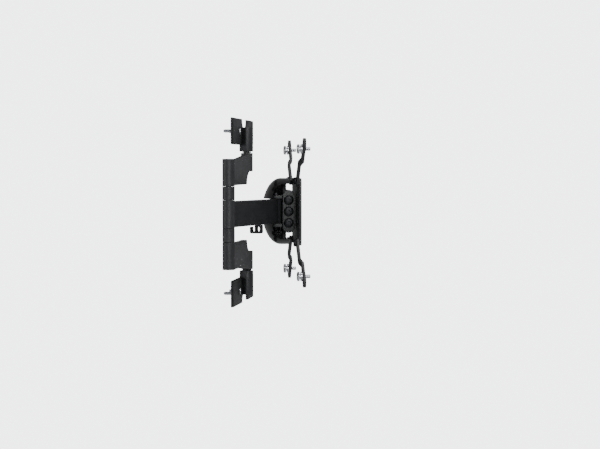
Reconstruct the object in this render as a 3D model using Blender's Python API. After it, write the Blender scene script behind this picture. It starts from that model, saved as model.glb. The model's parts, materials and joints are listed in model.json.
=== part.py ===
"""Full motion wall mount for a television, in the pose in which it is usually seen half folded.

Metres, +Z up. The wall is the plane Y = 0 and the mount stands out towards -Y. X runs along the wall.
Z = 0 is the plane halfway between the upper and the lower wall bracket, and the two wall hinges share
the vertical line X = 0. Lower pieces mirror the upper ones.
"""

import math

import bmesh
import bpy
from mathutils import Matrix, Vector

# Fits
GAP = 0.0003          # between pieces that touch or sit in one another
RUNNING = 0.00005     # radial play of a pin that turns in its bore
STEP = 0.0002         # sets apart faces of shapes that are joined into one casting
SIDES = 24            # facets of a turned piece
SCREW_SIDES = 16      # facets of a screw
FINE_SIDES = 48       # facets of the dome

# Pose at rest, in degrees about +Z
ARM_TURN = -14.0      # middle arm, from the wall
HEAD_TURN = 13.5      # television plate, from the wall

# Wall brackets
BRACKET_CENTRE = 0.030  # the middle of the cast web and its notch, from the hinge line
LOBE_ENDS = {-1: -0.090, 1: 0.1185}  # the far lobe is short, clear of a swinging television arm
BRACKET_LOW = 0.1075  # height of the lobes' inner edge above the mid-plane
BRACKET_HIGH = 0.150
BRACKET_THICK = 0.0026
LOBE_INNER = 0.0610   # where a lobe's cover ends and the thicker casting starts
LOBE_CORNER = 0.004
WEB_THICK = 0.0048
NOTCH_WIDTH = 0.064
NOTCH_DEPTH = 0.0135
NOTCH_CORNER = 0.0125
STEM_HALF = 0.034
COVER_WALL = 0.0022
COVER_TOP = 0.0009
COVER_MARGIN = 0.0006
WALL_SCREW_SHANK = 0.0030
WALL_SCREW_HEAD = 0.0062
WALL_SCREW_HEIGHT = 0.0030
WALL_SCREW_LENGTH = 0.014
INNER_SCREW_OFF = 0.049   # from the web's middle to an inner screw
OUTER_SCREW_IN = 0.0185   # from a lobe's end to its outer screw
POCKET_DEPTH = 0.0026
POCKET_PLAY = 0.0014

# Wall hinges
HINGE_OUT = 0.012     # hinge line's distance from the wall
BARREL_RADIUS = 0.0103
BARREL_LOW = 0.0970
BARREL_HIGH = 0.1360
PIN_RADIUS = 0.0045
WASHER_LAP = 0.0002    # of a hinge washer over the rim round the bushing

# Inner links
LINK_LENGTH = 0.180
LINK_THICK = 0.0186
KNUCKLE_RADIUS = 0.0097
KNUCKLE_HIGH = 0.0945
KNUCKLE_LOW = 0.0646
COLUMN_RADIUS = 0.00945
COLUMN_HIGH = 0.0842
LINK_LOW = 0.0423
LINK_FOOT = 0.0017    # the bar's lower edge above the column's foot
LINK_RISE_AT = 0.045  # from the column, where the outer edge starts to slope up to the knuckle
LINK_BACK = 0.0005    # the links' bars are only as thick as the front half of their column
LINK_CURVE_START = 0.124
LINK_CURVE_END = 0.160
BUSHING_WALL = 0.0022
HINGE_WASHER_RADIUS = PIN_RADIUS + BUSHING_WALL + GAP + WASHER_LAP

# Elbow
ELBOW_BOLT_RADIUS = 0.0040
ELBOW_HEAD_RADIUS = 0.0066
ELBOW_HEAD_HEIGHT = 0.0050
CAP_THICK = 0.0022
CAP_DEPTH = 0.0005

# Middle arm
ARM_LENGTH = 0.192
ARM_HEIGHT = 0.0395
ARM_KNUCKLE_HIGH = ARM_HEIGHT / 2 + 0.00185
ARM_THICK = 0.0160
ARM_END_RADIUS = 0.0110
SWIVEL_BOLT_RADIUS = 0.0040

# Cable clip
CLIP_AT = 0.116       # along the arm, from the elbow
CLIP_LENGTH = 0.010
CLIP_HEIGHT = 0.0135
CLIP_WALL = 0.0025
CLIP_CHANNEL = 0.0058

# Head, in its own frame: X along the television, -Y towards it, origin on the swivel line
TV_FACE = 0.0366      # from the swivel line to the face that meets the television
EAR_RADIUS = 0.0120
EAR_THICK = 0.0060
YOKE_WEB_BACK = 0.0120
TILT_OUT = 0.0194     # tilt axis, in front of the swivel line
BLOCK_HALF = 0.0146
BLOCK_ROUND = 0.0055
TILT_BOLT_STEP = 0.0183
TILT_BOLT_RADIUS = 0.0025
TILT_HEAD_RADIUS = 0.0078
TILT_HEAD_HEIGHT = 0.0042
TILT_MOST = 12.0
CHEEK_THICK = 0.0030
CHEEK_WIDTH = 0.0197
CHEEK_HALF_HEIGHT = 0.0350
BASE_THICK = 0.0030
BASE_HALF_HEIGHT = 0.0220

# Dome cover
DOME_RADIUS = 0.0540
DOME_RIM = 0.0204     # from the swivel line towards the television
DOME_SKIRT = 0.0124
DOME_ROUND = 0.0300
DOME_WALL = 0.0030
DOME_BAND = 0.0095
DOME_STEPS = 8
DOME_SLOT_PLAY = 0.0010
DOME_POST_RADIUS = 0.0040

# Television plate and its four arms
PLATE_HALF = 0.0540
PLATE_THICK = 0.0040
PLATE_CORNER = 0.0060
ARM_PIVOT = 0.0500
TV_HOLE = 0.1000      # half of the 200 mm screw square
TV_ARM_THICK = 0.0045
TV_ARM_INNER_RADIUS = 0.0080
TV_ARM_WAIST = 0.0060
TV_ARM_TIP_RADIUS = 0.0090
TV_ARM_TIP = 0.1080
TV_ARM_JOGGLE = 0.0800
TV_SLOT = 0.0048
CLAMP_RADIUS = 0.0025
CLAMP_HEAD_RADIUS = 0.0055
CLAMP_HEAD_HEIGHT = 0.0040
TV_SCREW_RADIUS = 0.0030
TV_SCREW_HEAD = 0.0075
TV_SCREW_STAND = 0.0130
TV_SCREW_BITE = 0.0080

ELBOW = Vector((-LINK_LENGTH, -HINGE_OUT, 0.0))
ARM_DIRECTION = Vector((math.cos(math.radians(ARM_TURN)), math.sin(math.radians(ARM_TURN)), 0.0))
SWIVEL = ELBOW + ARM_LENGTH * ARM_DIRECTION

SIDE_NAMES = {1: "upper", -1: "lower"}
END_NAMES = {-1: "near", 1: "far"}


def clear_scene():
    for item in list(bpy.data.objects):
        bpy.data.objects.remove(item, do_unlink=True)


def make_material(name, colour, roughness, metallic):
    material = bpy.data.materials.new(name)
    material.use_nodes = True
    shader = material.node_tree.nodes["Principled BSDF"]
    shader.inputs["Base Color"].default_value = (*colour, 1.0)
    shader.inputs["Roughness"].default_value = roughness
    shader.inputs["Metallic"].default_value = metallic
    return material


def make_materials():
    return {
        "coat": make_material("black_powder_coat", (0.030, 0.031, 0.034), 0.48, 0.35),
        "plastic": make_material("black_plastic", (0.018, 0.018, 0.020), 0.40, 0.0),
        "gloss": make_material("gloss_black_plastic", (0.012, 0.012, 0.014), 0.14, 0.0),
        "steel": make_material("black_steel", (0.040, 0.041, 0.045), 0.36, 0.8),
        "zinc": make_material("zinc_plated_steel", (0.66, 0.67, 0.68), 0.30, 1.0),
        "nylon": make_material("nylon", (0.55, 0.55, 0.52), 0.55, 0.0),
    }


def bore(radius):
    """Corner radius of a faceted hole in which a faceted pin of this radius turns freely."""
    return (radius + RUNNING) / math.cos(math.pi / SIDES)


# Meshes


def finish_mesh(name, shape, material, parent=None, helper=False):
    bmesh.ops.recalc_face_normals(shape, faces=shape.faces)
    mesh = bpy.data.meshes.new(name)
    shape.to_mesh(mesh)
    shape.free()
    piece = bpy.data.objects.new(name, mesh)
    bpy.context.scene.collection.objects.link(piece)
    if helper:
        piece.hide_render = True
        piece.display_type = "WIRE"
    else:
        mesh.materials.append(material)
        mesh.shade_smooth()
        mesh.set_sharp_from_angle(angle=math.radians(35))
    if parent is not None:
        piece.parent = parent
    return piece


def to_axes(axis, a, b, along):
    if axis == "z":
        return (a, b, along)
    if axis == "y":
        return (a, along, b)
    return (along, a, b)


def prism(name, outline, low, high, axis, material=None, parent=None, helper=False):
    """An outline of (a, b) points, extruded from low to high along an axis."""
    shape = bmesh.new()
    corners = [shape.verts.new(to_axes(axis, a, b, low)) for a, b in outline]
    face = shape.faces.new(corners)
    extruded = bmesh.ops.extrude_face_region(shape, geom=[face])
    moved = [item for item in extruded["geom"] if isinstance(item, bmesh.types.BMVert)]
    bmesh.ops.translate(shape, verts=moved, vec=Vector(to_axes(axis, 0.0, 0.0, high - low)))
    return finish_mesh(name, shape, material, parent, helper)


def turned(name, profile, centre=(0.0, 0.0), axis="z", material=None, parent=None,
           helper=False, sides=SIDES, ring=False):
    """A profile of (radius, height) points turned about an axis through centre."""
    shape = bmesh.new()
    points = [shape.verts.new((radius, 0.0, height)) for radius, height in profile]
    edges = [shape.edges.new(pair) for pair in zip(points, points[1:])]
    if ring:
        edges.append(shape.edges.new((points[-1], points[0])))
    bmesh.ops.spin(shape, geom=points + edges, cent=(0, 0, 0), axis=(0, 0, 1), dvec=(0, 0, 0),
                   angle=math.tau, steps=sides, use_merge=True, use_duplicate=False)
    bmesh.ops.remove_doubles(shape, verts=shape.verts, dist=1e-7)
    turn = {"z": Matrix.Identity(4), "y": Matrix.Rotation(-math.pi / 2, 4, "X"),
            "x": Matrix.Rotation(math.pi / 2, 4, "Y")}[axis]
    place = Matrix.Translation(Vector(to_axes(axis, centre[0], centre[1], 0.0)))
    bmesh.ops.transform(shape, matrix=place @ turn, verts=shape.verts)
    return finish_mesh(name, shape, material, parent, helper)


def disc(name, radius, low, high, centre=(0.0, 0.0), axis="z", **kind):
    low, high = min(low, high), max(low, high)
    return turned(name, [(0.0, low), (radius, low), (radius, high), (0.0, high)], centre, axis, **kind)


def tube(name, inner, outer, low, high, centre=(0.0, 0.0), axis="z", **kind):
    low, high = min(low, high), max(low, high)
    profile = [(inner, low), (outer, low), (outer, high), (inner, high)]
    return turned(name, profile, centre, axis, ring=True, **kind)


def box_outline(a_low, a_high, b_low, b_high):
    return [(a_low, b_low), (a_high, b_low), (a_high, b_high), (a_low, b_high)]


def arc(centre, radius, start, end, steps=4):
    """Points of an arc, in degrees, both ends included."""
    turns = [math.radians(start + (end - start) * step / steps) for step in range(steps + 1)]
    return [(centre[0] + radius * math.cos(turn), centre[1] + radius * math.sin(turn)) for turn in turns]


def rounded_outline(a_low, a_high, b_low, b_high, radius):
    return (
        arc((a_high - radius, b_low + radius), radius, -90, 0)
        + arc((a_high - radius, b_high - radius), radius, 0, 90)
        + arc((a_low + radius, b_high - radius), radius, 90, 180)
        + arc((a_low + radius, b_low + radius), radius, 180, 270)
    )


def obround(centre, half_length, radius, upright=True):
    """A slot outline: two half circles whose centres lie half_length from the middle."""
    a, b = centre
    if upright:
        return arc((a, b + half_length), radius, 0, 180, 8) + arc((a, b - half_length), radius, 180, 360, 8)
    return arc((a + half_length, b), radius, -90, 90, 8) + arc((a - half_length, b), radius, 90, 270, 8)


def boolean(piece, other, operation):
    modifier = piece.modifiers.new(f"{operation.lower()}_{other.name}", "BOOLEAN")
    modifier.operation = operation
    modifier.solver = "EXACT"
    modifier.object = other


def cut(piece, *cutters):
    for cutter in cutters:
        cutter.parent = piece.parent
        boolean(piece, cutter, "DIFFERENCE")


def join(piece, *others):
    for other in others:
        other.parent = piece.parent
        boolean(piece, other, "UNION")


def soften(piece, width, angle=50):
    """Rounds the sharp edges slightly, as a casting's are."""
    modifier = piece.modifiers.new("soft_edges", "BEVEL")
    modifier.width = width
    modifier.segments = 2
    modifier.limit_method = "ANGLE"
    modifier.angle_limit = math.radians(angle)


def axis_empty(name, place, turn=0.0, parent=None):
    empty = bpy.data.objects.new(name, None)
    empty.location = place
    empty.rotation_euler = (0.0, 0.0, math.radians(turn))
    bpy.context.scene.collection.objects.link(empty)
    empty.parent = parent
    return empty


def hex_outline(centre, radius):
    return [(centre[0] + radius * math.cos(math.radians(60 * step)),
             centre[1] + radius * math.sin(math.radians(60 * step))) for step in range(6)]


# Wall side


def wall_bracket(side, materials):
    name = f"{SIDE_NAMES[side]}_wall_bracket"
    left, right = LOBE_ENDS[-1], LOBE_ENDS[1]
    low, high = sorted((side * BRACKET_LOW, side * BRACKET_HIGH))
    plate = prism(name, rounded_outline(left, right, low, high, LOBE_CORNER),
                  -BRACKET_THICK, 0.0, "y", materials["coat"])
    top, bottom = side * (BRACKET_HIGH - STEP), side * (BRACKET_LOW + STEP)
    foot = side * (BARREL_LOW + STEP)
    outline = [(-LOBE_INNER, top), (-LOBE_INNER, bottom), (-STEM_HALF, bottom), (-STEM_HALF, foot),
               (STEM_HALF, foot), (STEM_HALF, bottom), (LOBE_INNER, bottom), (LOBE_INNER, top)]
    web = prism(f"{name}_web", [(BRACKET_CENTRE + a, b) for a, b in outline], -WEB_THICK, -STEP, "y",
                helper=True)
    outline = arc((0.0, -HINGE_OUT), BARREL_RADIUS, 180, 360, SIDES // 2)
    outline += [(BARREL_RADIUS, -2 * STEP), (0.0, -2 * STEP), (-BARREL_RADIUS / 2, -HINGE_OUT / 2),
                (-BARREL_RADIUS, -HINGE_OUT + 2 * STEP)]
    barrel_low, barrel_high = sorted((side * BARREL_LOW, side * BARREL_HIGH))
    barrel = prism(f"{name}_barrel", outline, barrel_low, barrel_high, "z", helper=True)
    join(plate, web, barrel)

    notch_low, notch_high = sorted((side * (BRACKET_HIGH - NOTCH_DEPTH), side * (BRACKET_HIGH + NOTCH_DEPTH)))
    notch = prism(f"{name}_notch",
                  rounded_outline(BRACKET_CENTRE - NOTCH_WIDTH / 2, BRACKET_CENTRE + NOTCH_WIDTH / 2,
                                  notch_low, notch_high, NOTCH_CORNER), -0.04, 0.01, "y", helper=True)
    pin_end = side * (BARREL_HIGH - 0.0030)
    pin_hole = disc(f"{name}_pin_hole", PIN_RADIUS + GAP, side * (BARREL_LOW - 0.01), pin_end + side * GAP,
                    (0.0, -HINGE_OUT), helper=True)
    cut(plate, notch, pin_hole, *screw_holes(name, side))
    return plate


def inner_screw_x(end):
    return BRACKET_CENTRE + end * INNER_SCREW_OFF


def outer_screw_x(end):
    return LOBE_ENDS[end] - end * OUTER_SCREW_IN


def screw_holes(name, side):
    """Round pockets in the casting for the inner wall screws, and countersunk holes for the outer ones."""
    middle = side * (BRACKET_LOW + BRACKET_HIGH) / 2
    shank, head, pocket = WALL_SCREW_SHANK + GAP, WALL_SCREW_HEAD + GAP, WALL_SCREW_HEAD + POCKET_PLAY
    floor = -WEB_THICK + POCKET_DEPTH
    stepped = [(0.0, -0.03), (pocket, -0.03), (pocket, floor), (shank, floor), (shank, 0.01), (0.0, 0.01)]
    sunk = [(0.0, -0.03), (head, -0.03), (head, -BRACKET_THICK), (shank, -BRACKET_THICK + head - shank),
            (shank, 0.01), (0.0, 0.01)]
    holes = []
    for end in END_NAMES:
        for word, profile, place_x in (("inner", stepped, inner_screw_x(end)), ("outer", sunk, outer_screw_x(end))):
            holes.append(turned(f"{name}_{END_NAMES[end]}_{word}_hole", profile, (place_x, middle), "y",
                                helper=True, sides=SCREW_SIDES))
    return holes


def bracket_cover(side, end, materials):
    """A shallow snap-on cap over the end of a lobe. It hides the outer wall screw."""
    name = f"{SIDE_NAMES[side]}_{END_NAMES[end]}_cover"
    far = LOBE_ENDS[end] - end * COVER_MARGIN
    near = BRACKET_CENTRE + end * (LOBE_INNER + GAP)
    low, high = sorted((side * (BRACKET_LOW + COVER_MARGIN), side * (BRACKET_HIGH - COVER_MARGIN)))
    left, right = sorted((near, far))
    back, front = -BRACKET_THICK - GAP, -WEB_THICK
    cover = prism(name, rounded_outline(left, right, low, high, LOBE_CORNER), front, back, "y",
                  materials["plastic"])
    hollow = prism(f"{name}_hollow",
                   rounded_outline(left + COVER_WALL, right - COVER_WALL, low + COVER_WALL,
                                   high - COVER_WALL, LOBE_CORNER / 2),
                   front + COVER_TOP, back + 0.01, "y", helper=True)
    soften(cover, 0.0005)
    cut(cover, hollow)
    return cover


def wall_screw(name, place_x, height, head_profile, materials):
    """A wood screw with a hexagon socket, driven towards +Y. The head's profile starts at its front."""
    profile = [(0.0, head_profile[0][1])] + head_profile
    profile += [(WALL_SCREW_SHANK, WALL_SCREW_LENGTH - 0.001),
                (WALL_SCREW_SHANK - 0.001, WALL_SCREW_LENGTH), (0.0, WALL_SCREW_LENGTH)]
    screw = turned(name, profile, (place_x, height), "y", material=materials["zinc"], sides=SCREW_SIDES)
    front = head_profile[0][1]
    socket = prism(f"{name}_socket", hex_outline((place_x, height), 0.0026), front - 0.01, front + 0.0018, "y",
                   helper=True)
    cut(screw, socket)
    return screw


def wall_screws(side, end, materials):
    middle = side * (BRACKET_LOW + BRACKET_HIGH) / 2
    tag = f"{SIDE_NAMES[side]}_{END_NAMES[end]}"
    head, shank = WALL_SCREW_HEAD, WALL_SCREW_SHANK
    seat = -WEB_THICK + POCKET_DEPTH - GAP
    front = seat - WALL_SCREW_HEIGHT
    flat = [(head * 0.86, front), (head, front + WALL_SCREW_HEIGHT * 0.35), (head, seat), (shank, seat)]
    wall_screw(f"{tag}_inner_wall_screw", inner_screw_x(end), middle, flat, materials)
    sunk = [(head, -BRACKET_THICK + GAP), (shank, -BRACKET_THICK + GAP + head - shank)]
    wall_screw(f"{tag}_outer_wall_screw", outer_screw_x(end), middle, sunk, materials)


def hinge_pin(side, materials):
    low = side * (KNUCKLE_LOW + 0.0030)
    high = side * (BARREL_HIGH - 0.0030)
    profile = [(0.0, low), (PIN_RADIUS - 0.0006, low), (PIN_RADIUS, low + side * 0.0006),
               (PIN_RADIUS, high), (0.0, high)]
    turned(f"{SIDE_NAMES[side]}_hinge_pin", profile, (0.0, -HINGE_OUT), material=materials["zinc"])


# Inner links and the elbow column


def link_outline(side):
    """Side view from the wall hinge (a = 0) to the elbow (a = -LINK_LENGTH)."""
    column = -LINK_LENGTH
    start, end = column + LINK_CURVE_START, column + LINK_CURVE_END
    low = LINK_LOW + LINK_FOOT
    curve = []
    for step in range(9):
        share = math.radians(90 * step / 8)
        rise = 1 - (1 - math.sin(share)) ** 0.8
        curve.append((end - (end - start) * math.cos(share) ** 0.8, low + (KNUCKLE_LOW - low) * rise))
    outline = [(column, COLUMN_HIGH - STEP), (column + LINK_RISE_AT, COLUMN_HIGH + STEP),
               (0.0, KNUCKLE_HIGH - STEP), (0.0, KNUCKLE_LOW + STEP)]
    outline += curve[::-1] + [(column, low)]
    return [(a, side * b) for a, b in outline]


def inner_link(side, materials, wall_axis):
    name = f"{SIDE_NAMES[side]}_link"
    link = prism(name, link_outline(side), -LINK_THICK / 2, LINK_BACK, "y", materials["coat"], wall_axis)
    knuckle = disc(f"{name}_knuckle", KNUCKLE_RADIUS, side * KNUCKLE_LOW, side * KNUCKLE_HIGH, helper=True)
    column = disc(f"{name}_column", COLUMN_RADIUS, side * (LINK_LOW + GAP / 2), side * COLUMN_HIGH,
                  (-LINK_LENGTH, 0.0), helper=True)
    join(link, knuckle, column)
    bushing = PIN_RADIUS + BUSHING_WALL + GAP
    pin_hole = disc(f"{name}_pin_hole", bushing, side * (KNUCKLE_LOW + 0.0024), side * (KNUCKLE_HIGH + 0.01),
                    helper=True)
    head_floor = COLUMN_HIGH - CAP_THICK - CAP_DEPTH - ELBOW_HEAD_HEIGHT - 3 * GAP
    shank, head = ELBOW_BOLT_RADIUS + GAP, ELBOW_HEAD_RADIUS + 2 * GAP
    stepped = [(0.0, 0.01), (shank, 0.01), (shank, head_floor), (head, head_floor), (head, 0.1), (0.0, 0.1)]
    bolt_hole = turned(f"{name}_bolt_hole", [(radius, side * height) for radius, height in stepped],
                       (-LINK_LENGTH, 0.0), helper=True)
    cut(link, pin_hole, bolt_hole)
    return link


def hinge_fittings(side, materials, wall_axis):
    name = SIDE_NAMES[side]
    tube(f"{name}_hinge_washer", bore(PIN_RADIUS), HINGE_WASHER_RADIUS, side * (KNUCKLE_HIGH + GAP),
         side * (BARREL_LOW - GAP), material=materials["plastic"], parent=wall_axis)
    tube(f"{name}_hinge_bushing", bore(PIN_RADIUS), PIN_RADIUS + BUSHING_WALL,
         side * (KNUCKLE_LOW + 0.0024 + GAP), side * (KNUCKLE_HIGH - GAP),
         material=materials["nylon"], parent=wall_axis)
    tube(f"{name}_column_spacer", ELBOW_BOLT_RADIUS + GAP, COLUMN_RADIUS,
         side * (ARM_KNUCKLE_HIGH + GAP / 2), side * (LINK_LOW - GAP / 2), (-LINK_LENGTH, 0.0),
         material=materials["coat"], parent=wall_axis)
    cap = disc(f"{name}_column_cap", ELBOW_HEAD_RADIUS + GAP, side * (COLUMN_HIGH - CAP_DEPTH - CAP_THICK),
               side * (COLUMN_HIGH - CAP_DEPTH), (-LINK_LENGTH, 0.0), material=materials["plastic"],
               parent=wall_axis)
    return cap


def elbow_bolt(materials, wall_axis):
    top = COLUMN_HIGH - CAP_THICK - CAP_DEPTH - GAP
    seat = top - ELBOW_HEAD_HEIGHT
    tip = -(seat + ELBOW_HEAD_HEIGHT - GAP)
    profile = [(0.0, tip), (ELBOW_BOLT_RADIUS, tip), (ELBOW_BOLT_RADIUS, seat), (ELBOW_HEAD_RADIUS, seat),
               (ELBOW_HEAD_RADIUS, top), (0.0, top)]
    turned("elbow_bolt", profile, (-LINK_LENGTH, 0.0), material=materials["zinc"], parent=wall_axis)
    nut = prism("elbow_nut", hex_outline((-LINK_LENGTH, 0.0), ELBOW_HEAD_RADIUS), -top, -seat, "z",
                materials["zinc"], wall_axis)
    hole = disc("elbow_nut_hole", ELBOW_BOLT_RADIUS + GAP, -0.1, -0.03, (-LINK_LENGTH, 0.0), helper=True)
    cut(nut, hole)


# Middle arm


def middle_arm(materials, elbow_axis):
    half = ARM_HEIGHT / 2
    arm = prism("middle_arm", box_outline(0.0, ARM_LENGTH, -half, half), -ARM_THICK / 2, ARM_THICK / 2, "y",
                materials["coat"], elbow_axis)
    knuckle = disc("middle_arm_knuckle", COLUMN_RADIUS, -ARM_KNUCKLE_HIGH + GAP / 2,
                   ARM_KNUCKLE_HIGH - GAP / 2, helper=True)
    end = disc("middle_arm_end", ARM_END_RADIUS, -half, half, (ARM_LENGTH, 0.0), helper=True)
    join(arm, knuckle, end)
    elbow_hole = disc("middle_arm_elbow_hole", ELBOW_BOLT_RADIUS + BUSHING_WALL + GAP, -0.05, 0.05,
                      helper=True)
    swivel_hole = disc("middle_arm_swivel_hole", SWIVEL_BOLT_RADIUS + BUSHING_WALL + GAP, -0.05, 0.05,
                       (ARM_LENGTH, 0.0), helper=True)
    cut(arm, elbow_hole, swivel_hole)
    for side in SIDE_NAMES:
        tube(f"{SIDE_NAMES[side]}_elbow_bushing", bore(ELBOW_BOLT_RADIUS), ELBOW_BOLT_RADIUS + BUSHING_WALL,
             side * GAP, side * (ARM_KNUCKLE_HIGH - GAP), material=materials["nylon"], parent=elbow_axis)
        tube(f"{SIDE_NAMES[side]}_swivel_bushing", bore(SWIVEL_BOLT_RADIUS), SWIVEL_BOLT_RADIUS + BUSHING_WALL,
             side * GAP, side * (half - GAP), (ARM_LENGTH, 0.0), material=materials["nylon"],
             parent=elbow_axis)


def cable_clip(materials, elbow_axis):
    """A closed loop towards the room and an open hook towards the wall, under the arm."""
    top = -ARM_HEIGHT / 2 - GAP
    bottom = top - CLIP_HEIGHT
    hook = ARM_THICK / 2 + 0.0040
    positions = [hook, hook - CLIP_WALL, hook - CLIP_WALL - CLIP_CHANNEL]
    positions += [positions[2] - CLIP_WALL, positions[2] - CLIP_WALL - CLIP_CHANNEL]
    positions += [positions[4] - CLIP_WALL]
    outer, stub, channel, post, slot_low, low = positions
    corner = 0.0025
    outline = arc((outer - corner, bottom + corner), corner, 0, -90)
    outline += arc((low + corner, bottom + corner), corner, -90, -180)
    outline += [(low, top), (channel, top)]
    inner = CLIP_CHANNEL / 2
    outline += arc((channel + inner, bottom + CLIP_WALL + inner), inner, 180, 360, 10)
    outline += arc((outer - CLIP_WALL / 2, top - 0.0040), CLIP_WALL / 2, 180, 0, 6)
    clip = prism("cable_clip", outline, CLIP_AT - CLIP_LENGTH / 2, CLIP_AT + CLIP_LENGTH / 2, "x",
                 materials["plastic"], elbow_axis)
    middle = (post + slot_low) / 2
    slot_top = top - 0.0020
    slot_half = (slot_top - bottom - CLIP_WALL) / 2 - inner
    slot = prism("cable_clip_slot", obround((middle, bottom + CLIP_WALL + inner + slot_half), slot_half, inner),
                 0.0, 0.3, "x", helper=True)
    cut(clip, slot)


# Head


def swivel_yoke(materials, swivel_axis):
    """Two ears on the swivel bolt, a web in front of them and the block that the tilt bolts cross."""
    ear_low = ARM_HEIGHT / 2 + GAP
    ear_high = ear_low + EAR_THICK
    web = prism("swivel_yoke", box_outline(-BLOCK_HALF, BLOCK_HALF, -ear_high, ear_high),
                -TILT_OUT + 0.0030, -YOKE_WEB_BACK, "y", materials["coat"], swivel_axis)
    for side in SIDE_NAMES:
        low, high = sorted((side * ear_low, side * ear_high))
        outline = arc((0.0, 0.0), EAR_RADIUS, 0, 180, 16) + [(-EAR_RADIUS, -YOKE_WEB_BACK - 0.001),
                                                            (EAR_RADIUS, -YOKE_WEB_BACK - 0.001)]
        ear = prism(f"swivel_yoke_{SIDE_NAMES[side]}_ear", outline, low, high, "z", helper=True)
        join(web, ear)
    block = prism("swivel_yoke_block", obround((-TILT_OUT, 0.0), TILT_BOLT_STEP, BLOCK_ROUND),
                  -BLOCK_HALF, BLOCK_HALF, "x", helper=True)
    join(web, block)
    bolt_hole = disc("swivel_yoke_bolt_hole", SWIVEL_BOLT_RADIUS + GAP, -0.05, 0.05, helper=True)
    tilt_holes = [disc(f"swivel_yoke_tilt_hole_{step}", TILT_BOLT_RADIUS + GAP, -0.05, 0.05,
                       (-TILT_OUT, step * TILT_BOLT_STEP), "x", helper=True) for step in (-1, 0, 1)]
    cut(web, bolt_hole, *tilt_holes)


def swivel_bolt(materials, swivel_axis):
    seat = ARM_HEIGHT / 2 + GAP + EAR_THICK + GAP
    head = seat + 0.0050
    tip = -(seat + 0.0065)
    profile = [(0.0, tip), (SWIVEL_BOLT_RADIUS, tip), (SWIVEL_BOLT_RADIUS, seat), (0.0078, seat),
               (0.0078, head - 0.0010), (0.0068, head), (0.0, head)]
    turned("swivel_bolt", profile, material=materials["steel"], parent=swivel_axis)
    nut = prism("swivel_nut", hex_outline((0.0, 0.0), 0.0078), -seat - 0.0055, -seat, "z",
                materials["steel"], swivel_axis)
    hole = disc("swivel_nut_hole", SWIVEL_BOLT_RADIUS + GAP, -0.05, 0.0, helper=True)
    cut(nut, hole)


def tilt_bolts(materials, swivel_axis):
    seat = -(BLOCK_HALF + GAP + CHEEK_THICK + GAP)
    names = {1: "upper", 0: "middle", -1: "lower"}
    for step, word in names.items():
        centre = (-TILT_OUT, step * TILT_BOLT_STEP)
        head = seat - TILT_HEAD_HEIGHT
        tip = -seat + 0.0050
        profile = [(0.0, head), (TILT_HEAD_RADIUS * 0.84, head), (TILT_HEAD_RADIUS, head + 0.0012),
                   (TILT_HEAD_RADIUS, seat), (TILT_BOLT_RADIUS, seat), (TILT_BOLT_RADIUS, tip), (0.0, tip)]
        bolt = turned(f"{word}_tilt_bolt", profile, centre, "x", material=materials["steel"],
                      parent=swivel_axis)
        socket = prism(f"{word}_tilt_bolt_socket", hex_outline(centre, 0.0030), head - 0.01, head + 0.0026,
                       "x", helper=True)
        cut(bolt, socket)
        nut = prism(f"{word}_tilt_nut", hex_outline(centre, 0.0050), -seat, -seat + 0.0040, "x",
                    materials["steel"], swivel_axis)
        hole = disc(f"{word}_tilt_nut_hole", TILT_BOLT_RADIUS + GAP, 0.0, 0.05, centre, "x", helper=True)
        cut(nut, hole)


def dome_profile(inset):
    """(radius, distance behind the rim) of the bowl, from its rim to its crown, drawn inset from the outside."""
    radius, depth = DOME_RADIUS - inset, DOME_ROUND - inset
    points = [(radius, -DOME_RIM if not inset else -DOME_RIM - 0.001)]
    for step in range(DOME_STEPS + 1):
        turn = math.radians(90 * step / DOME_STEPS)
        points.append((radius * math.cos(turn) if step < DOME_STEPS else 0.0,
                       -DOME_RIM + DOME_SKIRT + depth * math.sin(turn)))
    return points


def dome_cover(materials, swivel_axis):
    """A bowl behind the head, slotted for the arm and open towards the near side."""
    outside = [(0.0, -DOME_RIM)] + dome_profile(0.0)
    dome = turned("dome_cover", outside, axis="y", material=materials["gloss"], parent=swivel_axis,
                  sides=FINE_SIDES)
    inside = [(0.0, -DOME_RIM - 0.001)] + dome_profile(DOME_WALL)
    hollow = turned("dome_cover_hollow", inside, axis="y", helper=True, sides=FINE_SIDES)
    slot_half = ARM_HEIGHT / 2 + DOME_SLOT_PLAY
    slot = prism("dome_cover_slot", box_outline(-0.07, 0.07, -slot_half, slot_half), -0.0100, 0.05, "y",
                 helper=True)
    band_height = DOME_RADIUS - DOME_BAND
    band_depth = DOME_ROUND - DOME_BAND
    middle = -DOME_RIM + DOME_SKIRT
    opening = [(-DOME_RIM - 0.01, -band_height)]
    for step in range(21):
        turn = math.radians(-90 + 180 * step / 20)
        opening.append((middle + band_depth * math.cos(turn), band_height * math.sin(turn)))
    opening.append((-DOME_RIM - 0.01, band_height))
    near_opening = prism("dome_cover_opening", opening, -0.07, -BLOCK_HALF - 0.0040, "x", helper=True)
    cut(dome, hollow)
    ear_face = ARM_HEIGHT / 2 + GAP + EAR_THICK + GAP
    for side in SIDE_NAMES:
        post = disc(f"dome_cover_{SIDE_NAMES[side]}_post", DOME_POST_RADIUS, side * ear_face,
                    side * (DOME_RADIUS - DOME_WALL / 2), (0.0, -YOKE_WEB_BACK - 0.0013), helper=True, sides=18)
        join(dome, post)
    cut(dome, slot, near_opening)


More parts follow.
